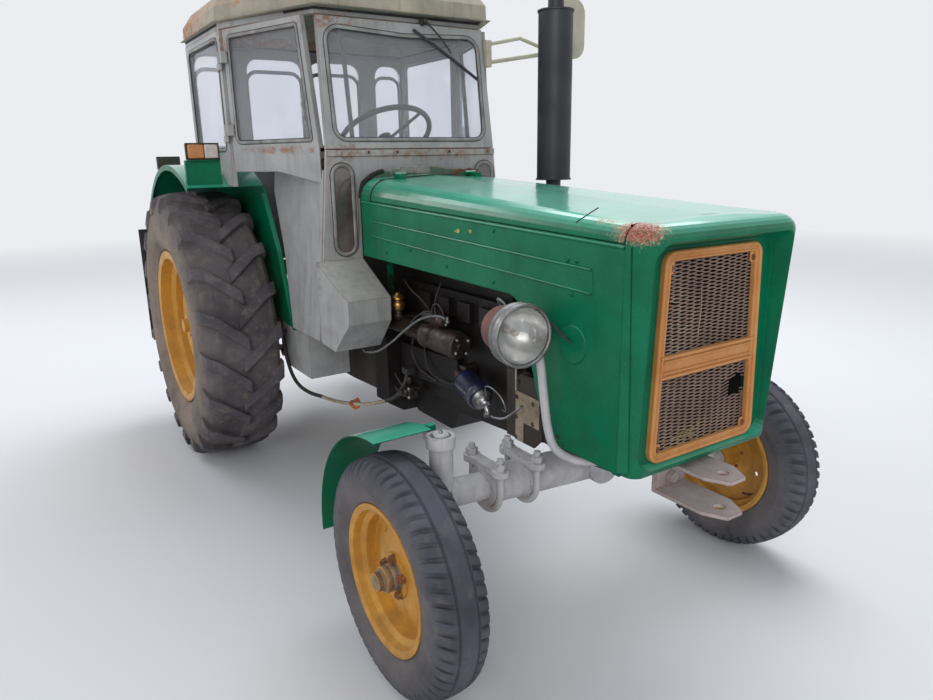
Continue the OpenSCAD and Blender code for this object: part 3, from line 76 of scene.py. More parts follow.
# %% Places
REAR_AXLE_TO_ORIGIN = 918.0
WHEELBASE = 2190.0
SIDES = ((-1, "right"), (1, "left"))
FORWARD, ACROSS, UPWARDS = (1, 0, 0), (0, 1, 0), (0, 0, 1)


def mm(x, y, z):
    """A point of the drawing, in millimetres from the rear axle, as a point of the scene."""
    return Vector(((x - REAR_AXLE_TO_ORIGIN) / 1000, y / 1000, z / 1000))


def srgb(red, green, blue):
    """A colour as the eye reads it, 0 to 255, in the linear form that shaders use."""
    def linear(c):
        c /= 255
        return c / 12.92 if c <= 0.04045 else ((c + 0.055) / 1.055) ** 2.4
    return (linear(red), linear(green), linear(blue), 1.0)


def placed_object(name, data):
    """Every object of this script is put in the scene here."""
    made = bpy.data.objects.new(name, data)
    bpy.context.scene.collection.objects.link(made)
    return made


print("front axle stands at", tuple(round(c, 3) for c in mm(WHEELBASE, 0, 350)))

# %% [markdown]
# The camera was fitted to the wheels, cab and bonnet in the photograph. It looks down
# from just above the bonnet, with a mild wide angle, so near things swell a little.
# Its three axes are built straight from the yaw, pitch and roll that the fit gave.

# %% Camera
YAW, PITCH, ROLL = math.radians(146.833), math.radians(-15.178), math.radians(-0.957)
FOCAL_PIXELS, PHOTO_WIDTH = 710.47, 933
SENSOR_MM = 36.0

ahead = Vector((math.cos(PITCH) * math.cos(YAW), math.cos(PITCH) * math.sin(YAW), math.sin(PITCH)))
level_right = Vector((math.sin(YAW), -math.cos(YAW), 0))
level_up = level_right.cross(ahead)
right = level_right * math.cos(ROLL) + level_up * math.sin(ROLL)
up = level_up * math.cos(ROLL) - level_right * math.sin(ROLL)

camera_data = bpy.data.cameras.new("photo_camera")
camera_data.sensor_width = SENSOR_MM
camera_data.lens = FOCAL_PIXELS / PHOTO_WIDTH * SENSOR_MM
camera_data.clip_start, camera_data.clip_end = 0.05, 400
camera = placed_object("photo_camera", camera_data)
camera.matrix_world = Matrix.Translation(mm(3797.4, -1548.2, 1492.7)) @ Matrix(
    (right, up, -ahead)).transposed().to_4x4()
bpy.context.scene.camera = camera
print("lens", round(camera_data.lens, 2), "mm")

# %% [markdown]
# Shader trees are easier to read when each node is made in one line. `grow` adds a
# node, sets its properties and feeds its inputs, from values or from other sockets.
# The short words below it find the tree from the socket that they are given.

# %% Shader helpers
def grow(tree, kind, feed=None, **props):
    made = tree.nodes.new(kind)
    for name, value in props.items():
        setattr(made, name, value)
    for name, value in (feed or {}).items():
        if isinstance(value, bpy.types.NodeSocket):
            tree.links.new(value, made.inputs[name])
        else:
            made.inputs[name].default_value = value
    return made


def tree_of(*values):
    return next(value.id_data for value in values if isinstance(value, bpy.types.NodeSocket))


def math_of(operation, a, b):
    return grow(tree_of(a, b), "ShaderNodeMath", {0: a, 1: b}, operation=operation).outputs[0]


times, plus, minus, larger = (functools.partial(math_of, operation)
                              for operation in ("MULTIPLY", "ADD", "SUBTRACT", "MAXIMUM"))


def vector_of(operation, *values, out=0):
    feed = dict(enumerate(values))
    return grow(tree_of(*values), "ShaderNodeVectorMath", feed, operation=operation).outputs[out]


def mix_of(share, a, b, blend="MIX"):
    return grow(tree_of(share), "ShaderNodeMix", {0: share, 6: a, 7: b}, data_type="RGBA",
                blend_type=blend).outputs[2]


def ramp_of(value, low, high, to_low=0.0, to_high=1.0):
    return grow(tree_of(value), "ShaderNodeMapRange", {"Value": value, "From Min": low, "From Max": high,
                "To Min": to_low, "To Max": to_high}).outputs["Result"]


def noise_of(where, scale, detail=3.0, rough=0.55, twist=0.0):
    return grow(tree_of(where), "ShaderNodeTexNoise", {"Vector": where, "Scale": scale, "Detail": detail,
                "Roughness": rough, "Distortion": twist}).outputs["Fac"]


def upward_part(tree):
    """How much a face looks up: 1 on top, 0 on a wall, -1 below."""
    normal = grow(tree, "ShaderNodeNewGeometry").outputs["Normal"]
    return grow(tree, "ShaderNodeSeparateXYZ", {0: normal}).outputs["Z"]


def node_tree(name, kind, inputs, outputs):
    """An empty node group with named sockets: its tree, its inputs, its output node, its sockets' keys."""
    tree, keys = bpy.data.node_groups.new(name, kind), {}
    for label, socket_kind, value in inputs:
        socket = tree.interface.new_socket(label, in_out="INPUT", socket_type="NodeSocket" + socket_kind)
        if value is not None:
            socket.default_value = value
        keys[label] = socket.identifier
    for label, socket_kind in outputs:
        tree.interface.new_socket(label, in_out="OUTPUT", socket_type="NodeSocket" + socket_kind)
    return tree, tree.nodes.new("NodeGroupInput").outputs, tree.nodes.new("NodeGroupOutput"), keys


def shader_group(name, inputs, outputs):
    """A shader group that starts from a place, and a function that ends it."""
    tree, given, result, _ = node_tree(name, "ShaderNodeTree", [("Where", "Vector", None), *inputs], outputs)

    def end(*sockets):
        for (label, _), socket in zip(outputs, sockets):
            tree.links.new(socket, result.inputs[label])
        print(name, "has", len(tree.nodes), "nodes")
    return tree, given, end


def use_group(group, where, **feed):
    tree = tree_of(where)
    made = grow(tree, "ShaderNodeGroup", node_tree=group)
    for name, value in {"Where": where, **feed}.items():
        socket = made.inputs[name.replace("_", " ")]
        if isinstance(value, bpy.types.NodeSocket):
            tree.links.new(value, socket)
        else:
            socket.default_value = value
    return made.outputs


print("shader helpers ready")

# %% [markdown]
# The photograph was taken under a bright, even sky. A broad lamp overhead stands for
# that sky, a second one fills from the camera's side, and the world adds the rest.
# The floor and the background stay plain and pale. What the camera sees of the world
# is white, and so is what glass and metal show of it, but its light stays soft.

# %% Stage and light
for name, place, target_z, size, watts, tint in (
        ("sky_lamp", (-1.5, 3.0, 7.0), 0.8, 7.0, 420, (0.96, 0.98, 1.0)),
        ("fill_lamp", (6.5, -5.5, 4.0), 1.0, 5.0, 210, (1.0, 0.99, 0.97)),
        ("back_lamp", (-6.5, -3.5, 4.5), 1.2, 4.0, 130, (0.97, 0.98, 1.0))):
    data = bpy.data.lights.new(name, "AREA")
    data.shape, data.size, data.energy, data.color = "DISK", size, watts, tint
    lamp = placed_object(name, data)
    lamp.location = place
    lamp.rotation_euler = (Vector((0, 0, target_z)) - Vector(place)).to_track_quat("-Z", "Y").to_euler()

BACKDROP, BACKDROP_LIGHT = (0.90, 0.92, 0.95, 1), 0.92
SKY_TINT, SKY_LIGHT = (0.88, 0.92, 1.0, 1), 0.55
world = bpy.data.worlds.new("pale_world")
bpy.context.scene.world = world
world.use_nodes = True
sky = world.node_tree
sky.nodes.clear()
ray = grow(sky, "ShaderNodeLightPath").outputs
seen = larger(larger(ray["Is Camera Ray"], ray["Is Transmission Ray"]), ray["Is Glossy Ray"])
soft, plain = (grow(sky, "ShaderNodeBackground", {"Color": tint, "Strength": light}).outputs[0]
               for tint, light in ((SKY_TINT, SKY_LIGHT), (BACKDROP, BACKDROP_LIGHT)))
grow(sky, "ShaderNodeOutputWorld", {
    "Surface": grow(sky, "ShaderNodeMixShader", {"Fac": seen, 1: soft, 2: plain}).outputs[0]})
bpy.context.scene.view_settings.view_transform = "Standard"
print("lamps and world are set")

# %% [markdown]
# Paint wears first where two faces meet. A Bevel node looks a few millimetres round
# each point and returns the rounded normal. Where that differs from the true one there
# is an edge, and a noise breaks the line into chips. The same rounded normal also
# takes the knife edge off the flat solids, as rolled sheet and castings have none.

# %% Edge group
EDGES, given, end = shader_group(
    "worn_edges", [("Width", "Float", 0.004), ("Chip Size", "Float", 60.0), ("Amount", "Float", 0.5)],
    [("Mask", "Float"), ("Soft Normal", "Vector")])
rounded_normal = grow(EDGES, "ShaderNodeBevel", {"Radius": given["Width"]}, samples=4).outputs[0]
true_normal = grow(EDGES, "ShaderNodeNewGeometry").outputs["Normal"]
on_edge = ramp_of(vector_of("DOT_PRODUCT", rounded_normal, true_normal, out="Value"), 0.985, 0.80)
chips = noise_of(given["Where"], given["Chip Size"], 4.0, 0.65)
threshold = minus(0.85, times(given["Amount"], 0.55))
end(times(on_edge, ramp_of(chips, threshold, plus(threshold, 0.05))), rounded_normal)

# %% [markdown]
# Rust isn't one colour. It runs from a dark brown scab through orange to a pale
# powder, and it stands a little proud of the sheet. The mask comes from two noises,
# one for the large patches and one that eats their rims.

# %% Rust group
RUST, given, end = shader_group(
    "rust_patches", [("Patch Size", "Float", 6.0), ("Cover", "Float", 0.2)],
    [("Color", "Color"), ("Mask", "Float"), ("Height", "Float")])
patches = noise_of(given["Where"], given["Patch Size"], 5.0, 0.6)
rims = noise_of(given["Where"], times(given["Patch Size"], 9.0), 4.0, 0.6)
limit = minus(0.74, times(given["Cover"], 0.45))
rusted = ramp_of(plus(times(patches, 0.72), times(rims, 0.28)), limit, plus(limit, 0.035))
grain = noise_of(given["Where"], 160.0, 5.0, 0.7)
tones = grow(RUST, "ShaderNodeValToRGB", {"Fac": grain})
scab, powder = tones.color_ramp.elements
scab.position, powder.position = 0.30, 0.72
scab.color, powder.color = srgb(70, 38, 24), srgb(186, 122, 78)
tones.color_ramp.elements.new(0.5).color = srgb(138, 78, 44)
end(tones.outputs["Color"], rusted, times(rusted, plus(grain, 0.4)))

# %% [markdown]
# Some marks have their own place, such as the pink scab on the nose's shoulder or the
# brown end of the roof. The mask is a soft ball round a middle, stretched by a reach
# along each axis. One noise eats its rim, and a finer one breaks it into flakes.

# %% Local marks
LOCAL, given, end = shader_group(
    "local_mark", [("Middle", "Vector", None), ("Reach", "Vector", None), ("Grain", "Float", 30.0),
                   ("Soft", "Float", 0.3)], [("Mask", "Float")])
offset = vector_of("SUBTRACT", given["Where"], given["Middle"])
apart = vector_of("LENGTH", vector_of("DIVIDE", offset, given["Reach"]), out="Value")
eaten = times(minus(noise_of(given["Where"], given["Grain"], 6.0, 0.68), 0.5), 3.2)
inside = ramp_of(plus(apart, eaten), 1.0, minus(1.0, given["Soft"]))
flakes = noise_of(given["Where"], times(given["Grain"], 1.4), 5.0, 0.65)
end(times(inside, ramp_of(flakes, 0.43, 0.53, 0.12, 1.0)))

# %% [markdown]
# Dirt comes from below. Soil splashes up to about the axles and dust settles on what
# faces up. This group gives both in one mask: one part falls off with height above the
# ground, broken by noise, and the other follows the normal. Its second output is
# streaks of rain that run down.

# %% Dirt group
DIRT, given, end = shader_group(
    "soil_and_dust", [("Splash Height", "Float", 0.5), ("Splash", "Float", 0.4), ("Dust", "Float", 0.3)],
    [("Mask", "Float"), ("Streaks", "Float")])
height = grow(DIRT, "ShaderNodeSeparateXYZ", {0: given["Where"]}).outputs["Z"]
fall = ramp_of(math_of("DIVIDE", height, given["Splash Height"]), 1.25, 0.1)
splashed = times(ramp_of(noise_of(given["Where"], 14.0, 6.0, 0.62), 0.36, 0.62), fall)
dusty = times(ramp_of(upward_part(DIRT), 0.25, 0.95),
              ramp_of(noise_of(given["Where"], 5.0, 6.0, 0.6), 0.35, 0.7))
both = grow(DIRT, "ShaderNodeMath", {0: times(splashed, given["Splash"]), 1: times(dusty, given["Dust"])},
            operation="ADD", use_clamp=True).outputs[0]
stretched = grow(DIRT, "ShaderNodeMapping", {"Vector": given["Where"], "Scale": (30.0, 30.0, 1.6)}).outputs[0]
end(both, ramp_of(noise_of(stretched, 1.0, 4.0, 0.6), 0.5, 0.78))

# %% [markdown]
# Every painted finish on this tractor is built the same way from the bottom up: paint
# in two tones, faded and painted lighter on top as if lit by the sky, then rust patches,
# then bare chips on the edges, then soil. Only the values differ, so one function makes
# them all. The Principled shader stays in the material, where the export can read it.

# %% Paint
def start_material(name):
    made = bpy.data.materials.new(name)
    made.use_nodes = True
    tree = made.node_tree
    tree.nodes.clear()
    shader = tree.nodes.new("ShaderNodeBsdfPrincipled")
    grow(tree, "ShaderNodeOutputMaterial", {"Surface": shader.outputs[0]})
    return made, tree, shader, tree.nodes.new("ShaderNodeTexCoord").outputs["Object"]


def set_shader(tree, shader, **values):
    """Feeds a Principled shader; a word's underscores stand for spaces."""
    for name, value in values.items():
        socket = shader.inputs[name.replace("_", " ")]
        if isinstance(value, bpy.types.NodeSocket):
            tree.links.new(value, socket)
        else:
            socket.default_value = value


def bump_of(height, normal, strength, distance):
    return grow(tree_of(height), "ShaderNodeBump", {"Strength": strength, "Distance": distance,
                "Height": height, "Normal": normal}).outputs[0]


def painted(name, paint, shade, top_fade_and_light, rough=0.42, edge=0.004, chip=0.4, chip_tone=None, rust=0.1,
            rust_size=6.0, splash=0.3, splash_height=0.7, dust=0.2, soil=(92, 84, 70), streak=0.25,
            skin=0.35, metal=0.0, sheen=0.0, specular=0.5, marks=()):
    """Paint in two tones with rust, worn edges, soil and rain streaks. Marks are rows of a
    middle in drawing millimetres, a reach in metres, a tint, a softness and a grain."""
    made, tree, shader, where = start_material(name)
    top_fade_and_light, soil = srgb(*top_fade_and_light), srgb(*soil)
    tone = noise_of(where, 7.0, 5.0, 0.6)
    color = mix_of(ramp_of(tone, 0.35, 0.68), srgb(*paint), srgb(*shade))
    facing = upward_part(tree)
    # upward faces take the top tone: partly real fading, partly painted sky light
    fade_and_sky_light = times(ramp_of(facing, 0.35, 1.0), ramp_of(noise_of(where, 2.6, 4.0, 0.6), 0.25, 0.65, 0.45, 1.0))
    color = mix_of(fade_and_sky_light, color, top_fade_and_light)
    color = mix_of(ramp_of(noise_of(where, 240.0, 2.0, 0.6), 0.66, 0.75, 0.0, 0.35), color, top_fade_and_light)
    dirt = use_group(DIRT, where, Splash_Height=splash_height, Splash=splash, Dust=dust)
    color = mix_of(times(dirt["Streaks"], streak), color, soil, "MULTIPLY")
    rusty = use_group(RUST, where, Patch_Size=rust_size, Cover=rust)
    color = mix_of(rusty["Mask"], color, rusty["Color"])
    marked = None
    for middle, reach, tint, softness, grain in marks:
        mark = use_group(LOCAL, where, Middle=mm(*middle), Reach=reach, Grain=grain, Soft=softness)["Mask"]
        mark = times(mark, ramp_of(facing, -0.45, -0.1, 0.0, 0.92))
        color = mix_of(mark, color, srgb(*tint))
        marked = larger(marked, mark) if marked else mark
    worn = use_group(EDGES, where, Width=edge, Amount=chip)
    color = mix_of(worn["Mask"], color, srgb(*chip_tone) if chip_tone else rusty["Color"])
    color = mix_of(dirt["Mask"], color, soil)
    coarse = larger(larger(rusty["Mask"], worn["Mask"]), dirt["Mask"])
    if marked:
        coarse = larger(coarse, marked)
    if sheen:
        coat = times(times(ramp_of(facing, 0.1, 0.8), minus(1.0, coarse)), sheen)
        set_shader(tree, shader, Coat_Weight=coat, Coat_Roughness=0.14)
    gloss = ramp_of(tone, 0.3, 0.7, rough - 0.07, rough + 0.09)
    relief = plus(times(noise_of(where, 55.0, 3.0), skin), times(rusty["Height"], 0.8))
    relief = minus(relief, times(worn["Mask"], 0.6))
    set_shader(tree, shader, Base_Color=color, Specular_IOR_Level=specular, Metallic=metal,
               Roughness=grow(tree, "ShaderNodeMix", {0: coarse, 2: gloss, 3: 0.86},
                              data_type="FLOAT").outputs[0],
               Normal=bump_of(relief, worn["Soft Normal"], 0.35, 0.002))
    return made


print("paint can be made")

# %% [markdown]
# One table holds the painted finishes, by the name of the slot that wears them. A row
# has the paint, its shade, the tone on top (faded, and painted lighter as if lit by the sky),
# and what differs from a common coat.

# %% Painted finishes
BAY_SHADE, FENDER_SHADE, YELLOW_CHIP = (30, 27, 25), (12, 56, 44), (196, 180, 90)
PAINTS = {
    # the bonnet's top tone is far lighter than its paint: painted sky light on the lid
    "hood_paint": ((0, 112, 78), (0, 94, 64), (70, 186, 156), dict(rough=0.36, edge=0.006, chip=0.22,
        chip_tone=(150, 190, 170), rust=0.02, splash=0.25, splash_height=0.75, dust=0.04, streak=0.1,
        skin=0.9, sheen=1.0, specular=0.22, marks=[
        ((2612, -296, 1326), (0.08, 0.075, 0.04), (206, 172, 150), 0.5, 110.0),
        ((2620, -298, 1322), (0.072, 0.066, 0.034), (190, 104, 90), 0.35, 130.0),
        ((2618, -292, 1320), (0.055, 0.055, 0.026), (128, 70, 56), 0.35, 190.0),
        ((2500, -288, 1343), (0.06, 0.034, 0.018), (196, 160, 140), 0.5, 130.0),
        # painted shade on the green wall behind the engine, under the bonnet
        ((1158, -212, 985), (0.03, 0.085, 0.165), BAY_SHADE, 0.2, 12.0),
        ((1158, 212, 985), (0.03, 0.085, 0.165), BAY_SHADE, 0.2, 12.0),
        ((120, -600, 990), (0.75, 0.095, 0.37), FENDER_SHADE, 0.8, 3.0),
        ((120, 600, 990), (0.75, 0.095, 0.37), FENDER_SHADE, 0.8, 3.0),
        ((1848, -303, 1264), (0.013, 0.02, 0.006), YELLOW_CHIP, 0.2, 60.0),
        ((1924, -303, 1266), (0.009, 0.02, 0.006), YELLOW_CHIP, 0.2, 60.0)])),
    "wheel_paint": ((204, 148, 52), (184, 126, 40), (212, 160, 70), dict(rough=0.46, chip=0.6, rust=0.2,
        rust_size=34.0, splash=0.35, splash_height=0.6, dust=0.1, soil=(104, 82, 60))),
    "cab_paint": ((170, 170, 168), (150, 150, 150), (186, 184, 178), dict(rough=0.55, edge=0.005, chip=0.95,
        rust=0.13, rust_size=11.0, splash=0.2, splash_height=1.0, dust=0.25, streak=0.3, skin=0.6, marks=[
        ((1066, 60, 1512), (0.03, 0.42, 0.028), (146, 112, 88), 0.9, 26.0),
        ((1066, -330, 1520), (0.03, 0.1, 0.05), (140, 100, 74), 0.9, 34.0),
        ((760, -480, 1535), (0.3, 0.14, 0.022), (146, 112, 88), 0.9, 26.0),
        ((1000, -340, 2020), (0.1, 0.2, 0.05), (142, 104, 80), 0.9, 26.0),
        ((460, -612, 2000), (0.08, 0.06, 0.1), (150, 118, 96), 0.9, 26.0),
        ((1060, -470, 1290), (0.05, 0.03, 0.3), (128, 92, 70), 0.8, 26.0)])),
    "roof_paint": ((176, 168, 150), (150, 142, 128), (190, 176, 152), dict(rough=0.7, chip=0.6, rust=0.16,
        rust_size=2.2, splash=0.0, dust=0.4, streak=0.35, soil=(150, 132, 108), skin=0.8, marks=[
        ((-160, -350, 2110), (0.46, 0.75, 0.16), (190, 132, 90), 0.9, 16.0),
        ((-180, -420, 2110), (0.36, 0.55, 0.12), (150, 88, 52), 0.6, 34.0),
        ((300, -450, 2150), (0.6, 0.3, 0.05), (172, 128, 98), 0.9, 14.0)])),
    "grille_paint": ((206, 144, 82), (188, 122, 62), (214, 156, 96), dict(rough=0.5, edge=0.003, chip=0.5,
        chip_tone=(120, 74, 40), rust=0.05, splash=0.1, dust=0.1)),
    "axle_paint": ((196, 194, 196), (170, 168, 172), (208, 206, 206), dict(rough=0.5, chip=0.6,
        chip_tone=(70, 60, 54), rust=0.08, rust_size=14.0, splash=0.45, splash_height=0.6, dust=0.2,
        streak=0.3)),
    "hitch_paint": ((190, 178, 176), (160, 144, 142), (200, 188, 184), dict(rough=0.62, chip=0.9, rust=0.24,
        rust_size=18.0, splash=0.2, splash_height=0.7, dust=0.2)),
    "exhaust_paint": ((38, 40, 46), (26, 27, 31), (52, 54, 60), dict(rough=0.48, chip=0.4, rust=0.08,
        rust_size=20.0, splash=0.0, dust=0.15)),
    "casting": ((58, 52, 46), (38, 34, 31), (84, 74, 62), dict(rough=0.7, chip=0.3, chip_tone=(96, 84, 70),
        rust=0.14, rust_size=12.0, splash=0.6, splash_height=0.9, dust=0.45, soil=(98, 84, 66), skin=1.6)),
    # the engine is painted near black, darker than its own paint: painted shade under the bonnet
    "engine_casting": ((25, 20, 18), (14, 12, 11), (38, 31, 27), dict(rough=0.5, chip=0.3,
        chip_tone=(70, 58, 48), rust=0.06, rust_size=12.0, splash=0.15, splash_height=0.9, dust=0.12,
        soil=(50, 41, 34), skin=1.8, specular=0.3)),
    "fittings": ((96, 90, 84), (60, 54, 50), (120, 112, 104), dict(rough=0.45, chip=0.5, rust=0.2,
        rust_size=20.0, splash=0.2, dust=0.2, metal=0.5, skin=1.0)),
    "black_steel": ((44, 42, 41), (30, 29, 28), (66, 62, 58), dict(rough=0.55, chip=0.5, rust=0.16,
        rust_size=14.0, splash=0.3, dust=0.35)),
    "linkage_steel": ((84, 66, 54), (58, 44, 36), (104, 82, 66), dict(rough=0.7, chip=0.5, rust=0.5,
        rust_size=14.0, splash=0.5, splash_height=0.9, dust=0.3, skin=1.4)),
    "mirror_paint": ((196, 190, 170), (172, 164, 146), (206, 200, 182), dict(rough=0.5, chip=0.6, rust=0.1,
        rust_size=22.0, splash=0.0, dust=0.2)),
    "lamp_metal": ((150, 150, 152), (118, 116, 116), (170, 170, 172), dict(rough=0.4, chip=0.5, rust=0.2,
        rust_size=24.0, splash=0.0, dust=0.2, metal=0.3)),
    "lamp_cream": ((206, 150, 92), (190, 132, 78), (216, 170, 120), dict(rough=0.4, chip=0.2, rust=0.05,
        splash=0.0, dust=0.3, streak=0.4)),
    "mesh_wire": ((138, 112, 98), (104, 84, 76), (150, 126, 110), dict(rough=0.7, edge=0.001, chip=0.3,
        rust=0.12, rust_size=10.0, splash=0.2, dust=0.1, soil=(120, 104, 84), marks=[
        ((2606, -120, 1060), (0.06, 0.1, 0.12), (156, 140, 118), 0.8, 20.0),
        ((2606, -80, 750), (0.06, 0.12, 0.06), (150, 134, 108), 0.8, 20.0)])),
    "tank_paint": ((92, 104, 88), (66, 84, 66), (112, 118, 104), dict(rough=0.6, chip=0.6, rust=0.3,
        rust_size=14.0, splash=0.0, dust=0.3, marks=[
        ((1128, -60, 1450), (0.05, 0.09, 0.03), (142, 142, 138), 0.4, 30.0),
        ((1128, 210, 1440), (0.05, 0.09, 0.04), (140, 84, 52), 0.4, 30.0)])),
}
FINISH = {name: painted(name, *tones, **rest) for name, (*tones, rest) in PAINTS.items()}
print("painted finishes:", len(FINISH))

# %% [markdown]
# Tyre rubber that has stood outside goes from black to a chalky grey. Soil stays in
# the grooves and dries to brown on the walls, and the crown of the tread is rubbed
# clean and dark. The height above the ground can't be used here, because a tyre
# turns, so the masks use noise alone and the distance from the wheel's own middle.

# %% Rubber
REAR_HUB, FRONT_HUB = (0, 685, 675), (2190, 726, 350)
TYRE_SOIL = srgb(146, 128, 112)


def rubber(name, black, grey, soil_cover, rough=0.82, hub=None, reach=None):
    made, tree, shader, where = start_material(name)
    black, grey = srgb(*black), srgb(*grey)
    big = noise_of(where, 5.0, 6.0, 0.6)
    color = mix_of(ramp_of(big, 0.35, 0.7), black, grey)
    if hub is not None:
        # soil lies thickest on the walls, inside the tread's radius
        flat = vector_of("MULTIPLY", vector_of("SUBTRACT", where, mm(hub[0], 0, hub[2])), (1, 0, 1))
        wall = ramp_of(vector_of("LENGTH", flat, out="Value"), reach[1], reach[0])
        soil_share = times(wall, ramp_of(big, 0.30, 0.62, 0.25, 1.0))
        color = mix_of(times(soil_share, soil_cover), color, TYRE_SOIL)
    spots = ramp_of(noise_of(where, 22.0, 8.0, 0.7), 0.52, 0.72)
    color = mix_of(times(spots, soil_cover * 0.6), color, TYRE_SOIL)
    worn = use_group(EDGES, where, Width=0.008, Chip_Size=25.0, Amount=0.9)
    set_shader(tree, shader, Base_Color=mix_of(times(worn["Mask"], 0.45), color, grey),
               Roughness=ramp_of(big, 0.3, 0.7, rough - 0.08, rough + 0.1), Specular_IOR_Level=0.3,
               Normal=bump_of(noise_of(where, 90.0, 4.0, 0.65), worn["Soft Normal"], 0.5, 0.002))
    return made


FINISH["rubber"] = rubber("rear_rubber", (66, 63, 67), (104, 98, 102), 0.85, hub=REAR_HUB, reach=(0.50, 0.66))
FINISH["front_rubber"] = rubber("front_rubber", (60, 62, 70), (92, 94, 104), 0.36, hub=FRONT_HUB,
                                reach=(0.24, 0.335))
FINISH["flap_rubber"] = rubber("flap_rubber", (40, 38, 38), (64, 60, 58), 0.35)
FINISH["seal_rubber"] = rubber("seal_rubber", (38, 38, 42), (70, 70, 74), 0.2, rough=0.7)
print("rubber finishes made")

# %% [markdown]
# Window glass on an old cab is clear with a grey film. A Principled shader with nearly
# full transmission bends the view a little, and a noise in its roughness gives the
# film. The base colour is kept near white, because glass takes its tint twice, once
# going in and once coming out.

# %% Glass
GLASS_INDEX = 1.12
for slot, name, tint, film, film_rough, through in (
        ("glass", "window_glass", (0.95, 0.96, 1.0, 1), (0.86, 0.88, 0.93, 1), (0.0, 0.10), 0.9),
        ("lens_glass", "lens_glass", (0.97, 0.97, 0.96, 1), (0.90, 0.90, 0.89, 1), (0.02, 0.14), 0.96)):
    FINISH[slot], tree, shader, where = start_material(name)
    smears = noise_of(where, 3.5, 6.0, 0.6, 0.4)
    set_shader(tree, shader, Base_Color=mix_of(ramp_of(smears, 0.35, 0.75), tint, film),
               Roughness=ramp_of(smears, 0.4, 0.8, *film_rough), Transmission_Weight=through, IOR=GLASS_INDEX)
print("glass finishes made")

# %% [markdown]
# The remaining finishes are small: bright metals, brass, seat vinyl, moulded plastic,
# lamp lenses and the hoses. They share one short function with a two-tone colour, a
# grime mask and a fine bump, because each covers only a few square centimetres. A row
# of their table has both tones, the roughness, and what differs.

# %% Small finishes
def small_finish(name, tone, second, rough, metal=0.0, scale=30.0, grime=0.3, relief=0.4,
                 grime_tone=(64, 54, 44), coat=0.0):
    made, tree, shader, where = start_material(name)
    share = noise_of(where, scale, 5.0, 0.6)
    dirty = ramp_of(noise_of(where, scale * 0.4, 6.0, 0.65), 0.48, 0.7, 0.0, grime)
    color = mix_of(ramp_of(share, 0.35, 0.68), srgb(*tone), srgb(*second))
    worn = use_group(EDGES, where, Width=0.003, Amount=0.6)
    set_shader(tree, shader, Base_Color=mix_of(dirty, color, srgb(*grime_tone)), Metallic=metal,
               Coat_Weight=coat,
               Roughness=plus(ramp_of(share, 0.3, 0.7, rough - 0.05, rough + 0.08), times(dirty, 0.4)),
               Normal=bump_of(times(noise_of(where, 260.0, 3.0), relief), worn["Soft Normal"], 0.3, 0.001))
    return made


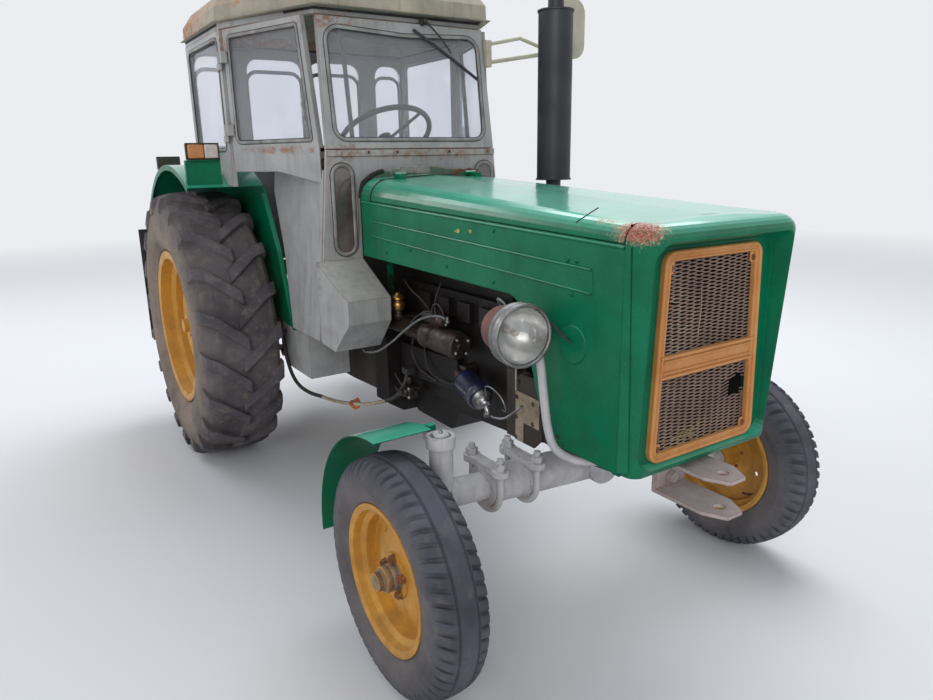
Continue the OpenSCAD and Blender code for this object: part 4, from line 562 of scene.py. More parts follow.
SMALL = {
    "bright_metal": ((176, 176, 180), (126, 124, 122), 0.28, dict(metal=0.9, grime=0.5)),
    "dull_metal": ((150, 150, 152), (116, 114, 112), 0.42, dict(metal=0.75, grime=0.5)),
    "hub_metal": ((150, 134, 116), (104, 82, 64), 0.55, dict(metal=0.3, scale=22.0, grime=0.4)),
    "ochre_bolt": ((146, 94, 58), (96, 60, 40), 0.75, dict(scale=60.0, grime=0.6, relief=1.4)),
    "seal_grey": ((158, 156, 153), (124, 121, 118), 0.6, dict(scale=14.0, grime=0.4)),
    "beige_plate": ((184, 168, 146), (150, 134, 112), 0.6, dict(scale=18.0, grime=0.5)),
    "oval_glass": ((104, 92, 88), (60, 57, 60), 0.07, dict(scale=7.0, grime=0.15, relief=0.1, coat=1.0,
        grime_tone=(140, 112, 96))),
    "soot": ((26, 22, 20), (18, 16, 15), 0.85, dict(grime=0.2)),
    "chrome": ((196, 196, 200), (150, 150, 154), 0.16, dict(metal=1.0, grime=0.35)),
    "reflector": ((214, 214, 214), (176, 175, 172), 0.3, dict(metal=0.9, grime=0.2)),
    "brass": ((196, 148, 84), (150, 104, 56), 0.32, dict(metal=0.9, grime=0.5)),
    "rust_metal": ((126, 80, 56), (86, 54, 40), 0.85, dict(grime=0.4, relief=1.2)),
    "oily_steel": ((80, 66, 60), (36, 30, 28), 0.34, dict(metal=0.6, grime=0.6, relief=1.0)),
    "filter_blue": ((34, 40, 72), (20, 24, 44), 0.3, dict(grime=0.3, coat=0.3)),
    "black_hose": ((34, 33, 33), (52, 50, 48), 0.6, dict(grime=0.4)),
    "grey_cable": ((118, 120, 122), (84, 86, 88), 0.55, dict(grime=0.4)),
    "beige_pipe": ((176, 164, 142), (142, 128, 108), 0.5, dict(grime=0.5)),
    "amber_lens": ((206, 138, 70), (182, 112, 54), 0.25, dict(grime=0.35, coat=0.5,
        grime_tone=(120, 90, 60))),
    "cream_lens": ((208, 198, 190), (184, 170, 160), 0.3, dict(grime=0.4, coat=0.4,
        grime_tone=(130, 108, 84))),
    "red_lens": ((150, 26, 22), (116, 18, 16), 0.22, dict(grime=0.3, coat=0.5)),
    "dark_lens": ((44, 38, 34), (62, 54, 46), 0.4, dict(grime=0.4)),
    "seat_cover": ((44, 36, 32), (62, 50, 42), 0.55, dict(scale=9.0, grime=0.35, relief=1.6,
        grime_tone=(110, 96, 80))),
    "wheel_plastic": ((28, 28, 30), (44, 43, 44), 0.4, dict(grime=0.25)),
    "mirror_glass": ((214, 218, 222), (188, 192, 198), 0.06, dict(metal=1.0, grime=0.12)),
    "radiator_fins": ((66, 58, 50), (40, 36, 32), 0.7, dict(metal=0.2, grime=0.7, grime_tone=(128, 108, 76))),
    "dial_face": ((30, 30, 32), (40, 40, 42), 0.25, dict(grime=0.2, coat=0.8)),
    "putty": ((150, 148, 144), (118, 114, 108), 0.75, dict(grime=0.5)),
    "straw": ((196, 176, 134), (146, 120, 80), 0.8, {}),
    "lamp_shell": ((128, 88, 82), (96, 62, 54), 0.5, dict(metal=0.2, scale=14.0, grime=0.5,
        grime_tone=(120, 74, 46))),
    "rag": ((188, 112, 70), (140, 78, 46), 0.9, dict(scale=60, grime=0.3)),
}
for slot, (*tones, rough, rest) in SMALL.items():
    FINISH[slot] = small_finish(slot, *tones, rough, **rest)
print("all finishes:", len(FINISH))

# %% [markdown]
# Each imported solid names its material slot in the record, so the finishes are handed
# out by that name. The front tyres get a rubber of their own, since the soil mask is
# measured from the middle of the wheel.

# %% Dress the solids
slot_of = {part["node"]: part["material_slot"] for part in frame["record"]["subparts"]}
for name, solid in nodes.items():
    finish = "front_rubber" if name.startswith("front_tyre") else slot_of[name]
    solid.data.materials.clear()
    solid.data.materials.append(FINISH[finish])
print("dressed", len(nodes), "solids")

# %% Floor
HALF_FLOOR = 60.0
floor_mesh = bpy.data.meshes.new("floor")
floor_mesh.from_pydata([(x * HALF_FLOOR, y * HALF_FLOOR, 0) for x, y in ((-1, -1), (1, -1), (1, 1), (-1, 1))],
                       [], [(0, 1, 2, 3)])
floor = placed_object("floor", floor_mesh)
floor.location.z = box_low[2] - 0.001
floor_paint, floor_tree, floor_shader, floor_where = start_material("floor_paint")
set_shader(floor_tree, floor_shader, Base_Color=(0.74, 0.75, 0.76, 1), Roughness=0.9)
# away from the tractor the floor fades into the plain background
away = ramp_of(vector_of("LENGTH", floor_where, out="Value"), 4.0, 13.0)
pale = grow(floor_tree, "ShaderNodeEmission", {"Color": BACKDROP, "Strength": BACKDROP_LIGHT})
faded = grow(floor_tree, "ShaderNodeMixShader", {0: away, 1: floor_shader.outputs[0], 2: pale.outputs[0]})
floor_tree.links.new(faded.outputs[0], floor_tree.nodes["Material Output"].inputs["Surface"])
floor.data.materials.append(floor_paint)
floor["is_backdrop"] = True
print("floor at", round(floor.location.z, 4))

# %% [markdown]
# Small parts are drawn straight as lists of points and faces. Four shapes cover most
# of them: a tube along a smooth path, a turned profile, a flat plate with thickness,
# and a block. Each returns its points and faces, so several can join in one piece.

# %% Shape builders
def joined(*shapes):
    points, faces = [], []
    for shape_points, shape_faces in shapes:
        start = len(points)
        points += [tuple(p) for p in shape_points]
        faces += [tuple(i + start for i in face) for face in shape_faces]
    return points, faces


def smooth_path(points, step=0.008):
    """Points of a Catmull-Rom curve through the given ones, about one step apart."""
    given = [Vector(p) for p in points]
    ends = [given[0] * 2 - given[1]] + given + [given[-1] * 2 - given[-2]]
    path = []
    for a, b, c, d in zip(ends, ends[1:], ends[2:], ends[3:]):
        count = max(2, int((c - b).length / step))
        for k in range(count):
            t = k / count
            path.append(0.5 * ((2 * b) + (c - a) * t + (2 * a - 5 * b + 4 * c - d) * t * t
                               + (3 * b - a - 3 * c + d) * t ** 3))
    return path + [given[-1]]


def swept(path, section, closed=False, normal=None):
    """A section of (across, upwards) points carried along a path. It doesn't twist, or
    upwards keeps to the normal where one is given, as on a lip that lies on a plane."""
    count, sides = len(path), len(section)
    points = []
    first = (path[1] - path[0]).normalized()
    across = first.cross(Vector(UPWARDS))
    if across.length < 0.1:
        across = first.cross(Vector(ACROSS))
    across.normalize()
    for i, place in enumerate(path):
        before = path[i - 1] if (i or closed) else place
        after = path[(i + 1) % count] if (i + 1 < count or closed) else place
        along = (after - before).normalized()
        if normal:
            across, lift = along.cross(Vector(normal)).normalized(), Vector(normal).normalized()
        else:
            across = (across - along * across.dot(along)).normalized()
            lift = across.cross(along)
        points += [place + across * a + lift * b for a, b in section]
    rings = count if closed else count - 1
    faces = [(i * sides + k, i * sides + (k + 1) % sides, (i + 1) % count * sides + (k + 1) % sides,
              (i + 1) % count * sides + k) for i in range(rings) for k in range(sides)]
    if not closed:
        faces += [tuple(reversed(range(sides))), tuple(range((count - 1) * sides, count * sides))]
    return points, faces


def circle(radius, sides=12):
    return [(radius * math.cos(2 * math.pi * k / sides), radius * math.sin(2 * math.pi * k / sides))
            for k in range(sides)]


def tube(points, radius, sides=12, step=0.008):
    return swept(smooth_path(points, step), circle(radius, sides))


def pipe(points, radius, sides=12, step=0.008, side=1):
    """A tube through drawing points; side 1 or -1 leaves it or mirrors it over the middle."""
    return tube([mm(x, side * y, z) for x, y, z in points], radius, sides, step)


def half_round(width, height):
    """A lip's section, flat below and round above."""
    return [(width / 2 * math.cos(math.pi * k / 8), height * math.sin(math.pi * k / 8)) for k in range(9)]


def rounded(corners, radius=0, steps=7):
    """An outline through (a, b) or (a, b, radius) corners, each rounded by an arc."""
    outline = []
    for i, corner in enumerate(corners):
        bend = corner[2] if len(corner) > 2 else radius
        here = Vector(corner[:2])
        before = (Vector(corners[i - 1][:2]) - here).normalized()
        after = (Vector(corners[(i + 1) % len(corners)][:2]) - here).normalized()
        half = before.angle(after) / 2
        middle = here + (before + after).normalized() * bend / math.sin(half)
        start = here + before * bend / math.tan(half) - middle
        end = here + after * bend / math.tan(half) - middle
        turn = math.atan2(start.x * end.y - start.y * end.x, start.dot(end))
        for k in range(steps + 1):
            a = turn * k / steps
            outline.append((middle.x + start.x * math.cos(a) - start.y * math.sin(a),
                            middle.y + start.x * math.sin(a) + start.y * math.cos(a)))
    return outline


def turned(profile, place, axis, steps=48):
    """A profile of (radius, along) points, in millimetres, turned about an axis."""
    axis = Vector(axis).normalized()
    side = axis.orthogonal().normalized()
    other = axis.cross(side)
    points, rings = [], []
    for radius, along in ((r / 1000, a / 1000) for r, a in profile):
        if radius == 0:
            rings.append([len(points)])
            points.append(Vector(place) + axis * along)
        else:
            rings.append(list(range(len(points), len(points) + steps)))
            points += [Vector(place) + axis * along + radius * (
                side * math.cos(2 * math.pi * k / steps) + other * math.sin(2 * math.pi * k / steps))
                for k in range(steps)]
    faces = []
    for low, high in zip(rings, rings[1:]):
        for k in range(steps):
            n = (k + 1) % steps
            if len(low) == 1 < len(high):
                faces.append((low[0], high[k], high[n]))
            elif len(high) == 1 < len(low):
                faces.append((low[k], high[0], low[n]))
            elif len(low) > 1:
                faces.append((low[k], high[k], high[n], low[n]))
    return points, faces


def plate(outline, origin, across, upwards, depth):
    """A flat outline of (a, b) points with thickness, standing on two directions."""
    across, upwards = Vector(across).normalized(), Vector(upwards).normalized()
    normal = across.cross(upwards)
    front = [Vector(origin) + across * a + upwards * b for a, b in outline]
    back = [p - normal * depth for p in front]
    n = len(outline)
    faces = [tuple(range(n)), tuple(reversed(range(n, 2 * n)))]
    faces += [(i, i + n, (i + 1) % n + n, (i + 1) % n) for i in range(n)]
    return front + back, faces


def block(low, high):
    (x0, y0, z0), (x1, y1, z1) = low, high
    points = [(x, y, z) for x in (x0, x1) for y in (y0, y1) for z in (z0, z1)]
    return points, [(0, 1, 3, 2), (4, 6, 7, 5), (0, 4, 5, 1), (2, 3, 7, 6), (0, 2, 6, 4), (1, 5, 7, 3)]


print("shape builders ready")

# %% [markdown]
# Every piece ends the same way: points become a mesh, its faces are turned outwards,
# sharp corners may get a small bevel, smooth parts are shaded smooth up to an angle,
# and the piece then rides on its body and hides the solids it replaces.

# %% Making a piece
def finished(made, angle):
    """Shades a piece smooth, but for corners sharper than an angle."""
    made.data.shade_smooth()
    made.data.set_sharp_from_angle(angle=math.radians(angle))
    return made


def seat(made, body, slot, replaces=()):
    """Rides a finished object on its body and hides the solids it stands for; its slot is not used."""
    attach(made, body)
    if replaces:
        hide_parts(*replaces)
    return made


def piece(name, shape, finish, slot=None, body="chassis", bevel=0.0, angle=35, replaces=()):
    """A shape as an object in a finish. Its slot is not used."""
    points, faces = shape
    mesh = bpy.data.meshes.new(name)
    mesh.from_pydata([tuple(p) for p in points], [], faces)
    work = bmesh.new()
    work.from_mesh(mesh)
    bmesh.ops.recalc_face_normals(work, faces=work.faces)
    work.to_mesh(mesh)
    work.free()
    made = placed_object(name, mesh)
    if bevel:
        cut = made.modifiers.new("bevel", "BEVEL")
        cut.width, cut.segments, cut.limit_method = bevel, 2, "ANGLE"
        cut.angle_limit = math.radians(40)
    mesh.materials.append(FINISH[finish])
    return seat(finished(made, angle), body, slot or finish, replaces)


print("pieces can be made")

# %% [markdown]
# ## Bolts
# A tractor is held together by hexagon bolts, and they are what the eye finds first
# on a casting or a wheel. One Geometry Nodes tree makes them all: it takes loose
# points that carry an aim and a size, puts a washer, a shank and a hexagon head on
# each, and turns them along the aim.

# %% Bolt tree
def geometry_tree(name, sockets):
    return node_tree(name, "GeometryNodeTree", [("Geometry", "Geometry", None), *sockets],
                     [("Geometry", "Geometry")])


def attribute_of(tree, name, kind):
    return grow(tree, "GeometryNodeInputNamedAttribute", {"Name": name}, data_type=kind).outputs["Attribute"]


def vector_from(tree, **parts):
    return grow(tree, "ShaderNodeCombineXYZ", parts).outputs[0]


def repeat(tree, given, result, shape, **feed):
    """Ends a tree that puts a shape on each point, real and in its finish."""
    feed = {"Points": given["Geometry"], "Instance": shape, **feed}
    real = grow(tree, "GeometryNodeRealizeInstances", {
        "Geometry": grow(tree, "GeometryNodeInstanceOnPoints", feed).outputs[0]})
    coated = grow(tree, "GeometryNodeSetMaterial", {"Geometry": real.outputs[0], "Material": given["Finish"]})
    tree.links.new(coated.outputs[0], result.inputs[0])


BOLTS, given, result, bolt_keys = geometry_tree("hexagon_bolts", [
    ("Head Radius", "Float", 0.010), ("Head Height", "Float", 0.007), ("Washer Radius", "Float", 0.0125),
    ("Finish", "Material", None)])
head, washer, shank = (grow(BOLTS, "GeometryNodeMeshCylinder", {
    "Vertices": sides, "Radius": radius, "Depth": depth}).outputs["Mesh"] for sides, radius, depth in (
        (6, given["Head Radius"], given["Head Height"]), (16, given["Washer Radius"], 0.003),
        (10, times(given["Head Radius"], 0.52), times(given["Head Height"], 2.7))))
half_up = vector_from(BOLTS, Z=times(given["Head Height"], 0.5))
raised = grow(BOLTS, "GeometryNodeTransform", {"Geometry": head, "Translation": half_up}).outputs[0]
bolt = grow(BOLTS, "GeometryNodeJoinGeometry")
for part in (shank, washer, raised):
    BOLTS.links.new(part, bolt.inputs[0])
turn = grow(BOLTS, "FunctionNodeAlignRotationToVector", {
    "Vector": attribute_of(BOLTS, "aim", "FLOAT_VECTOR")}, axis="Z")
repeat(BOLTS, given, result, bolt.outputs[0], Rotation=turn.outputs[0],
       Scale=attribute_of(BOLTS, "size", "FLOAT"))


def grown(name, points, tree, keys, values, attributes, angle):
    """Runs a tree on loose points and returns its result as a plain mesh object."""
    mesh = bpy.data.meshes.new(name + "_points")
    mesh.from_pydata([tuple(p) for p in points], [], [])
    for label, kind, data in attributes:
        layer = mesh.attributes.new(label, kind, "POINT")
        layer.data.foreach_set("vector" if kind == "FLOAT_VECTOR" else "value",
                               np.array(data, np.float32).ravel())
    seed = placed_object(name + "_points", mesh)
    worker = seed.modifiers.new("tree", "NODES")
    worker.node_group = tree
    for label, value in values.items():
        worker[keys[label]] = value
    bpy.context.view_layer.update()
    shaped = seed.evaluated_get(bpy.context.evaluated_depsgraph_get())
    final = bpy.data.meshes.new_from_object(shaped)
    final.name = name
    bpy.data.objects.remove(seed)
    return finished(placed_object(name, final), angle)


def bolts(name, rows, slot, finish="rust_metal", body="chassis", head=10, height=7, washer=12.5):
    """Rows are (place, aim) or (place, aim, size); the other sizes are in millimetres."""
    places, aims, sizes = zip(*((*row, 1.0)[:3] for row in rows))
    made = grown(name, places, BOLTS, bolt_keys, {
        "Head Radius": head / 1000, "Head Height": height / 1000, "Washer Radius": washer / 1000,
        "Finish": FINISH[finish]}, [("aim", "FLOAT_VECTOR", [tuple(aim) for aim in aims]),
                                    ("size", "FLOAT", sizes)], 28)
    print(name, len(rows), "bolts")
    return seat(made, body, slot)


print("bolt tree:", len(BOLTS.nodes), "nodes")

# %% [markdown]
# ## Grille
# The real grille is a pressed frame: a round lip outside, a groove, and a finer lip
# round the mesh, which is a sheet that was slit and stretched into flat diamonds. One
# half round section swept along the outline gives each lip. The mesh is a V of two
# thin strands, repeated by Geometry Nodes on a staggered grid of points, so that every
# V closes the diamonds of the row above it. Torn places are points left out.

# %% Grille frame
GRILLE_FACE = 2616.5
GRILLE_TOP, GRILLE_LOW = (192, 1262), (213, 702)
BAR_LOW, BAR_HIGH = 931, 993


def grille_side(z, inset=0.0):
    """Half the grille's width at a height."""
    share = (z - GRILLE_LOW[1]) / (GRILLE_TOP[1] - GRILLE_LOW[1])
    return GRILLE_LOW[0] + (GRILLE_TOP[0] - GRILLE_LOW[0]) * share - inset


def grille_ring(inset, x):
    """Points round the grille's outline, drawn in by an inset."""
    radius = max(36 - inset, 8)
    ring = []
    for (half, z), up in ((GRILLE_TOP, 1), (GRILLE_LOW, -1)):
        for side in ((1, -1) if up > 0 else (-1, 1)):
            start = {(1, 1): 0, (-1, 1): 90, (-1, -1): 180, (1, -1): 270}[(side, up)]
            y0, z0 = side * (half - inset - radius), z - up * (inset + radius)
            for k in range(9):
                a = math.radians(start + 90 * k / 8)
                ring.append(mm(x, y0 + radius * math.cos(a), z0 + radius * math.sin(a)))
    return ring


def grille_lip(path, width, height, closed=True):
    return swept(path, half_round(width, height), closed, FORWARD)


lips = [grille_lip(grille_ring(inset, GRILLE_FACE - 1), width, height)
        for inset, width, height in ((5, 0.011, 0.007), (22, 0.007, 0.004), (13.5, 0.005, 0.0012))]
lips += [grille_lip([mm(GRILLE_FACE, s * grille_side(z, 26), z) for s in (-1, 1)], 0.007, 0.004, False)
         for z in (BAR_LOW + 16, BAR_HIGH - 16)]
piece("grille_lips", joined(*lips), "grille_paint", angle=50)
TABS = [(s * y, z, s, up) for s in (-1, 1) for y, z, up in ((163, 1222, 1), (177, 734, -1))]
tabs = []
for y, z, side, up in TABS:
    shape = rounded([(-11, -18, 9), (11, -18, 9), (11, 18, 3), (-11, 18, 3)])
    shape = [(side * a / 1000, up * b / 1000) for a, b in shape]
    shape = shape if side * up > 0 else shape[::-1]
    tabs.append(plate(shape, mm(GRILLE_FACE - 4, y, z), ACROSS, UPWARDS, 0.005))
    tabs.append(plate([(a * 0.5 + side * 0.014, b * 0.45) for a, b in shape], mm(GRILLE_FACE - 4.5, y, z),
        ACROSS, UPWARDS, 0.005))
piece("grille_tabs", joined(*tabs), "grille_paint", bevel=0.001)
bolts("grille_screws", [(mm(GRILLE_FACE - 4, y, z - up * 4), FORWARD, 1.0) for y, z, side, up in TABS],
    "grille_paint", "ochre_bolt", head=6, height=4, washer=8.5)

# %% Stretched mesh
CELL_W, CELL_H = 53.0, 9.7
MESH, given, result, mesh_keys = geometry_tree("stretched_mesh", [
    ("Thickness", "Float", 0.0016), ("Width", "Float", 0.0034), ("Finish", "Material", None)])
strand = grow(MESH, "GeometryNodeMeshCube", {"Vertices Y": 9, "Size": vector_from(
    MESH, X=given["Thickness"], Y=(CELL_W / 2 + 0.6) / 1000, Z=given["Width"])}).outputs["Mesh"]
# the strand leaves one knot level, climbs in the middle and meets the next knot level
along = grow(MESH, "ShaderNodeSeparateXYZ",
             {0: grow(MESH, "GeometryNodeInputPosition").outputs[0]}).outputs["Y"]
wave = math_of("SINE", times(along, math.pi / (CELL_W / 2000)), 0.5)
bent = grow(MESH, "GeometryNodeSetPosition", {
    "Geometry": strand, "Offset": vector_from(MESH, Z=times(wave, CELL_H / 4000))}).outputs[0]
moved = grow(MESH, "GeometryNodeTransform", {
    "Geometry": bent, "Translation": (0, CELL_W / 4000, CELL_H / 4000)}).outputs[0]
repeat(MESH, given, result, moved, Rotation=vector_from(MESH, Z=attribute_of(MESH, "turn", "FLOAT")))

# middle, half width and half height of each torn place
TEARS = [(146, 856, 50, 34), (-176, 1119, 26, 9), (-6, 927, 26, 7)]
mesh_points, mesh_turns = [], []
for low, high in ((GRILLE_LOW[1] + 24, BAR_LOW + 6), (BAR_HIGH - 6, GRILLE_TOP[1] - 24)):
    for row in range(int((high - low) / (CELL_H / 2))):
        z = low + row * CELL_H / 2
        for column in range(-5, 6):
            y = (column + (row % 2) / 2) * CELL_W + 4
            if any(((y - ty) / w) ** 2 + ((z - tz) / h) ** 2 < 1 for ty, tz, w, h in TEARS):
                continue
            dent = 2.0 * math.sin(y * 0.021 + 1.3) * math.sin(z * 0.017 + 0.4)
            for side in (-1, 1):
                # a strand starts at its knot and must end behind the frame
                if min(abs(y), abs(y + side * CELL_W / 2)) < grille_side(z, 24) and \
                        max(abs(y), abs(y + side * CELL_W / 2)) < grille_side(z, 1):
                    mesh_points.append(mm(2606 + dent, y, z))
                    mesh_turns.append(0.0 if side > 0 else math.pi)
made = grown("stretched_mesh", mesh_points, MESH, mesh_keys, {"Finish": FINISH["mesh_wire"]},
             [("turn", "FLOAT", mesh_turns)], 30)
seat(made, "chassis", "mesh_wire", ["grille_mesh"])
print("mesh:", len(mesh_points), "strands,", len(made.data.polygons), "faces")

# %% Baffle behind the mesh
# a near-black duct leads the air from the mesh to the radiator; its black is painted shade behind the mesh,
# so nothing green shows
DUCT_BACK, DUCT_FRONT, DUCT_HALF, DUCT_LOW, DUCT_HIGH = 2.482, 2.594, 0.212, 0.700, 1.264
ORIGIN_X = -REAR_AXLE_TO_ORIGIN / 1000


def duct_wall(low, high, at, upwards, depth):
    outline = [(DUCT_BACK, low), (DUCT_FRONT, low), (DUCT_FRONT, high), (DUCT_BACK, high)]
    return plate(outline, at, FORWARD, upwards, depth)


duct = [duct_wall(DUCT_LOW, DUCT_HIGH, (ORIGIN_X, side * 0.214, 0), UPWARDS, -side * 0.0015)
        for side in (-1, 1)]
duct += [duct_wall(-DUCT_HALF, DUCT_HALF, (ORIGIN_X, 0, z), ACROSS, 0.0015) for z in (0.700, 1.262)]
piece("grille_baffle", joined(*duct), "soot", "black_steel")

# %% Straw caught in the mesh
random = np.random.default_rng(11)
straws = [pipe(((2609, -39, 1161), (2610, -36, 1100), (2609, -41, 1033)), 0.0011, 6, 0.02)]
for _ in range(22):
    y, z = -82 + random.normal(0, 38), 745 + abs(random.normal(0, 13))
    lean, length = random.uniform(-1.2, 1.2), random.uniform(12, 34)
    reach, drop = length * math.cos(lean), length * math.sin(lean) * 0.4
    straws.append(pipe(((2609 + random.uniform(-2, 4), y - reach, z - drop),
                        (2610, y, z + random.uniform(-2, 3)), (2609, y + reach, z + drop)), 0.0009, 5, 0.02))
piece("straw", joined(*straws), "straw", "mesh_wire")

# %% [markdown]
# ## Lamps
# Each headlamp is a spun bowl with a double bead where the rim clamps the lens. The
# lens is moulded with upright flutes that spread the light, over a bright bowl and a
# bulb. The shapes are profiles turned about the lamp's axis, and the flutes are a
# small wave in the lens's own surface.

# %% Headlamps
LAMP_AIM = Vector((0.992, -0.12, 0.015))
LAMP_AT = (2330, -420, 1032)


def fluted_lens(place, axis, radius, rise, flute, pitch, rings=12, steps=64, back=0.003):
    """A domed glass whose front carries upright flutes."""
    axis = Vector(axis).normalized()
    side = axis.cross(Vector(UPWARDS)).normalized()
    other = axis.cross(side)
    points = [Vector(place) + axis * rise]
    for share in [r / rings for r in range(1, rings + 1)] + [None]:
        reach = radius * (share or 1)
        for k in range(steps):
            a = 2 * math.pi * k / steps
            wave = math.cos(2 * math.pi * reach * math.cos(a) / pitch)
            height = rise * (1 - share ** 2) + flute * (1 - share ** 6) * wave if share else -back
            points.append(Vector(place) + side * reach * math.cos(a) + other * reach * math.sin(a)
                          + axis * height)
    faces = [(0, 1 + k, 1 + (k + 1) % steps) for k in range(steps)]
    for low in range(1, 1 + rings * steps, steps):
        high = low + steps
        faces += [(low + k, high + k, high + (k + 1) % steps, low + (k + 1) % steps) for k in range(steps)]
    faces.append(tuple(reversed(range(1 + rings * steps, 1 + (rings + 1) * steps))))
    return points, faces


def lamp_shapes(at, aim):
    place = mm(*at)
    shell = turned([(0, -116), (30, -116), (50, -113), (60, -106), (64.5, -96), (66, -84), (66.5, -50),
        (70, -40), (77, -30), (80.5, -22), (81.5, -4), (78, -4), (76, -22), (63, -40), (60, -98), (0, -108)],
        place, aim)
    bead = [(79, -18), (83.5, -20), (86.8, -15), (86.8, -2), (83.5, 1), (83.8, 5), (87.8, 8), (88.5, 12),
            (88.5, 22), (86.5, 27), (82, 29), (78.5, 27), (77.5, 20), (77, 0)]
    bowl = turned([(76.5, 18), (72, 0), (58, -30), (36, -52), (12, -62), (0, -63), (0, -66), (14, -65),
        (38, -55), (60, -32), (78, 0)], place, aim)
    bulb = turned([(0, -12), (7, -14), (10, -22), (8, -32), (6, -40), (9, -42), (9, -62), (0, -63)], place,
        aim, 20)
    return shell, turned(bead + [bead[0]], place, aim, 64), bowl, bulb


for side, name in SIDES:
    at = (LAMP_AT[0], side * -LAMP_AT[1], LAMP_AT[2])
    aim = Vector((LAMP_AIM[0], side * -LAMP_AIM[1], LAMP_AIM[2]))
    shell, bead, bowl, bulb = lamp_shapes(at, aim)
    stalk = pipe(((2485, 171, 660), (2452, 232, 660), (2414, 292, 668), (2384, 332, 700), (2366, 345, 756),
                  (2352, 350, 850), (2338, 350, 930), (2322, 351, 985), (2300, 353, 1020)),
                 0.0125, 14, side=side)
    foot = turned([(0, -4), (22, -4), (24, 0), (22, 12), (14, 16), (0, 16)], mm(2485, side * 165.5, 660),
        (0, side, 0), 32)
    clip = turned([(0, -6), (20, -6), (20, 2), (11, 4), (11, 12), (0, 12)], mm(2300, side * 357, 1024),
        (0, -side, 0), 24)
    piece("lamp_shell_" + name, shell, "lamp_shell", "lamp_metal", replaces=["headlamps"])
    piece("lamp_rim_" + name, bead, "dull_metal", "lamp_metal", angle=60)
    piece("lamp_bowl_" + name, bowl, "reflector", "lamp_metal")
    piece("lamp_bulb_" + name, bulb, "cream_lens", "lamp_metal")
    piece("lamp_stalk_" + name, joined(stalk, foot, clip), "axle_paint", "lamp_metal", replaces=["headlamps"])
    piece("lamp_lens_" + name, fluted_lens(mm(*at) + aim * 0.023, aim, 0.0775, 0.011, 0.0005, 0.0085),
        "lens_glass", "glass", angle=80)
    wire = pipe(((2252, 402, 1092), (2225, 398, 1102), (2190, 388, 1104), (2166, 366, 1084),
                 (2168, 336, 1040), (2190, 312, 1000), (2222, 306, 968)), 0.0036, 8, side=side)
    piece("lamp_wire_" + name, wire, "grey_cable", "black_steel")
    pair = [pipe(((2262, 368 + d, 1064), (2310, 346 + d, 1076), (2362, 330 + d, 1054), (2396, 316 + d, 1024),
                  (2414, 305 + d, 1003 + 1.5 * d)), 0.0022, 8, side=side) for d in (0, 5)]
    piece("lamp_leads_" + name, joined(*pair), "black_hose", "black_steel")
print("headlamps done")

# %% Fender lamps
def boxed(side, x0, x1, y0, y1, z0, z1):
    """A block on one side of the tractor, with y counted outwards."""
    return block(mm(x0, side * (y0 if side > 0 else y1), z0), mm(x1, side * (y1 if side > 0 else y0), z1))


# the front lamp's frame lies between these places, and its rim is this wide
FRAME = (376, 388, 640, 788, 1500, 1574)
RIM = 7
# name, finish, slot, bevel and the boxes
FENDER_LAMPS = [
    ("front_lamp_body_", "dark_lens", "lamp_cream", 0.003, [
        (362, 378, 642, 786, 1501, 1573),
        (*FRAME[:5], FRAME[4] + RIM), (*FRAME[:4], FRAME[5] - RIM, FRAME[5]),
        (*FRAME[:3], FRAME[2] + RIM, FRAME[4] + RIM, FRAME[5] - RIM),
        (*FRAME[:2], FRAME[3] - RIM, FRAME[3], FRAME[4] + RIM, FRAME[5] - RIM)]),
    ("front_lamp_inner_", "cream_lens", "lamp_cream", 0.006, [(377, 398.5, 648, 708, 1507, 1567)]),
    ("front_lamp_outer_", "amber_lens", "lamp_cream", 0.006, [(377, 398.5, 710, 780, 1507, 1567)]),
    ("front_lamp_bracket_", "hood_paint", "hood_paint", 0.002, [
        (366, 369, 636, 790, 1384, 1500), (340, 369, 636, 639, 1384, 1500), (340, 369, 787, 790, 1384, 1500),
        (340, 396, 640, 786, 1497, 1500)]),
    ("rear_lamp_body_", "dark_lens", "lamp_cream", 0.003, [
        (-346, -320, 662, 778, 1455, 1522), (-345, -335, 705, 735, 1408, 1457)]),
    ("rear_lamp_lens_", "red_lens", "lamp_cream", 0.005, [
        (-359.5, -345, 664, 715, 1457, 1520), (-359.5, -345, 717, 776, 1457, 1520)])]
for side, name in SIDES:
    for start, finish, slot, bevel, boxes in FENDER_LAMPS:
        piece(start + name, joined(*(boxed(side, *box) for box in boxes)), finish, slot, bevel=bevel,
              replaces=["rear_lamps"])
print("fender lamps done")

# %% [markdown]
# ## Wheels
# A ribbed front tyre has three raised ribs round its tread, and the outer ones are cut
# by short notches that keep it from sliding. The section is turned about the wheel in
# small steps, and at the end of each notch's period its shoulder points sink inwards.
# The flank carries a bead line by the rim and a moulded ridge at its widest place.

# %% Front tyres
NOTCHES = 56
# columns are the radius, the distance from the tyre's middle and the notch's depth
TREAD = [(203, 58, 0), (213, 60, 0), (220, 63, 0), (224, 68, 0), (231, 69, 0), (236, 71, 0), (261, 81, 0),
    (272, 83, 0), (277, 84, 0), (282, 83, 0), (300, 82, 1.5), (318, 77, 8), (332, 69, 16), (340, 60, 19),
    (344.5, 50, 16), (347, 40, 10), (347.5, 33, 0), (342, 31, 0), (342, 26, 0), (349, 24, 0), (350, 9, 0)]
# each notch lies between two shares of its period
NOTCH_STEPS = [(0.0, 0), (0.03, 0), (0.50, 0), (0.53, 1), (0.80, 1), (0.83, 0.3)]
NOTCH_SLANT = 0.0011


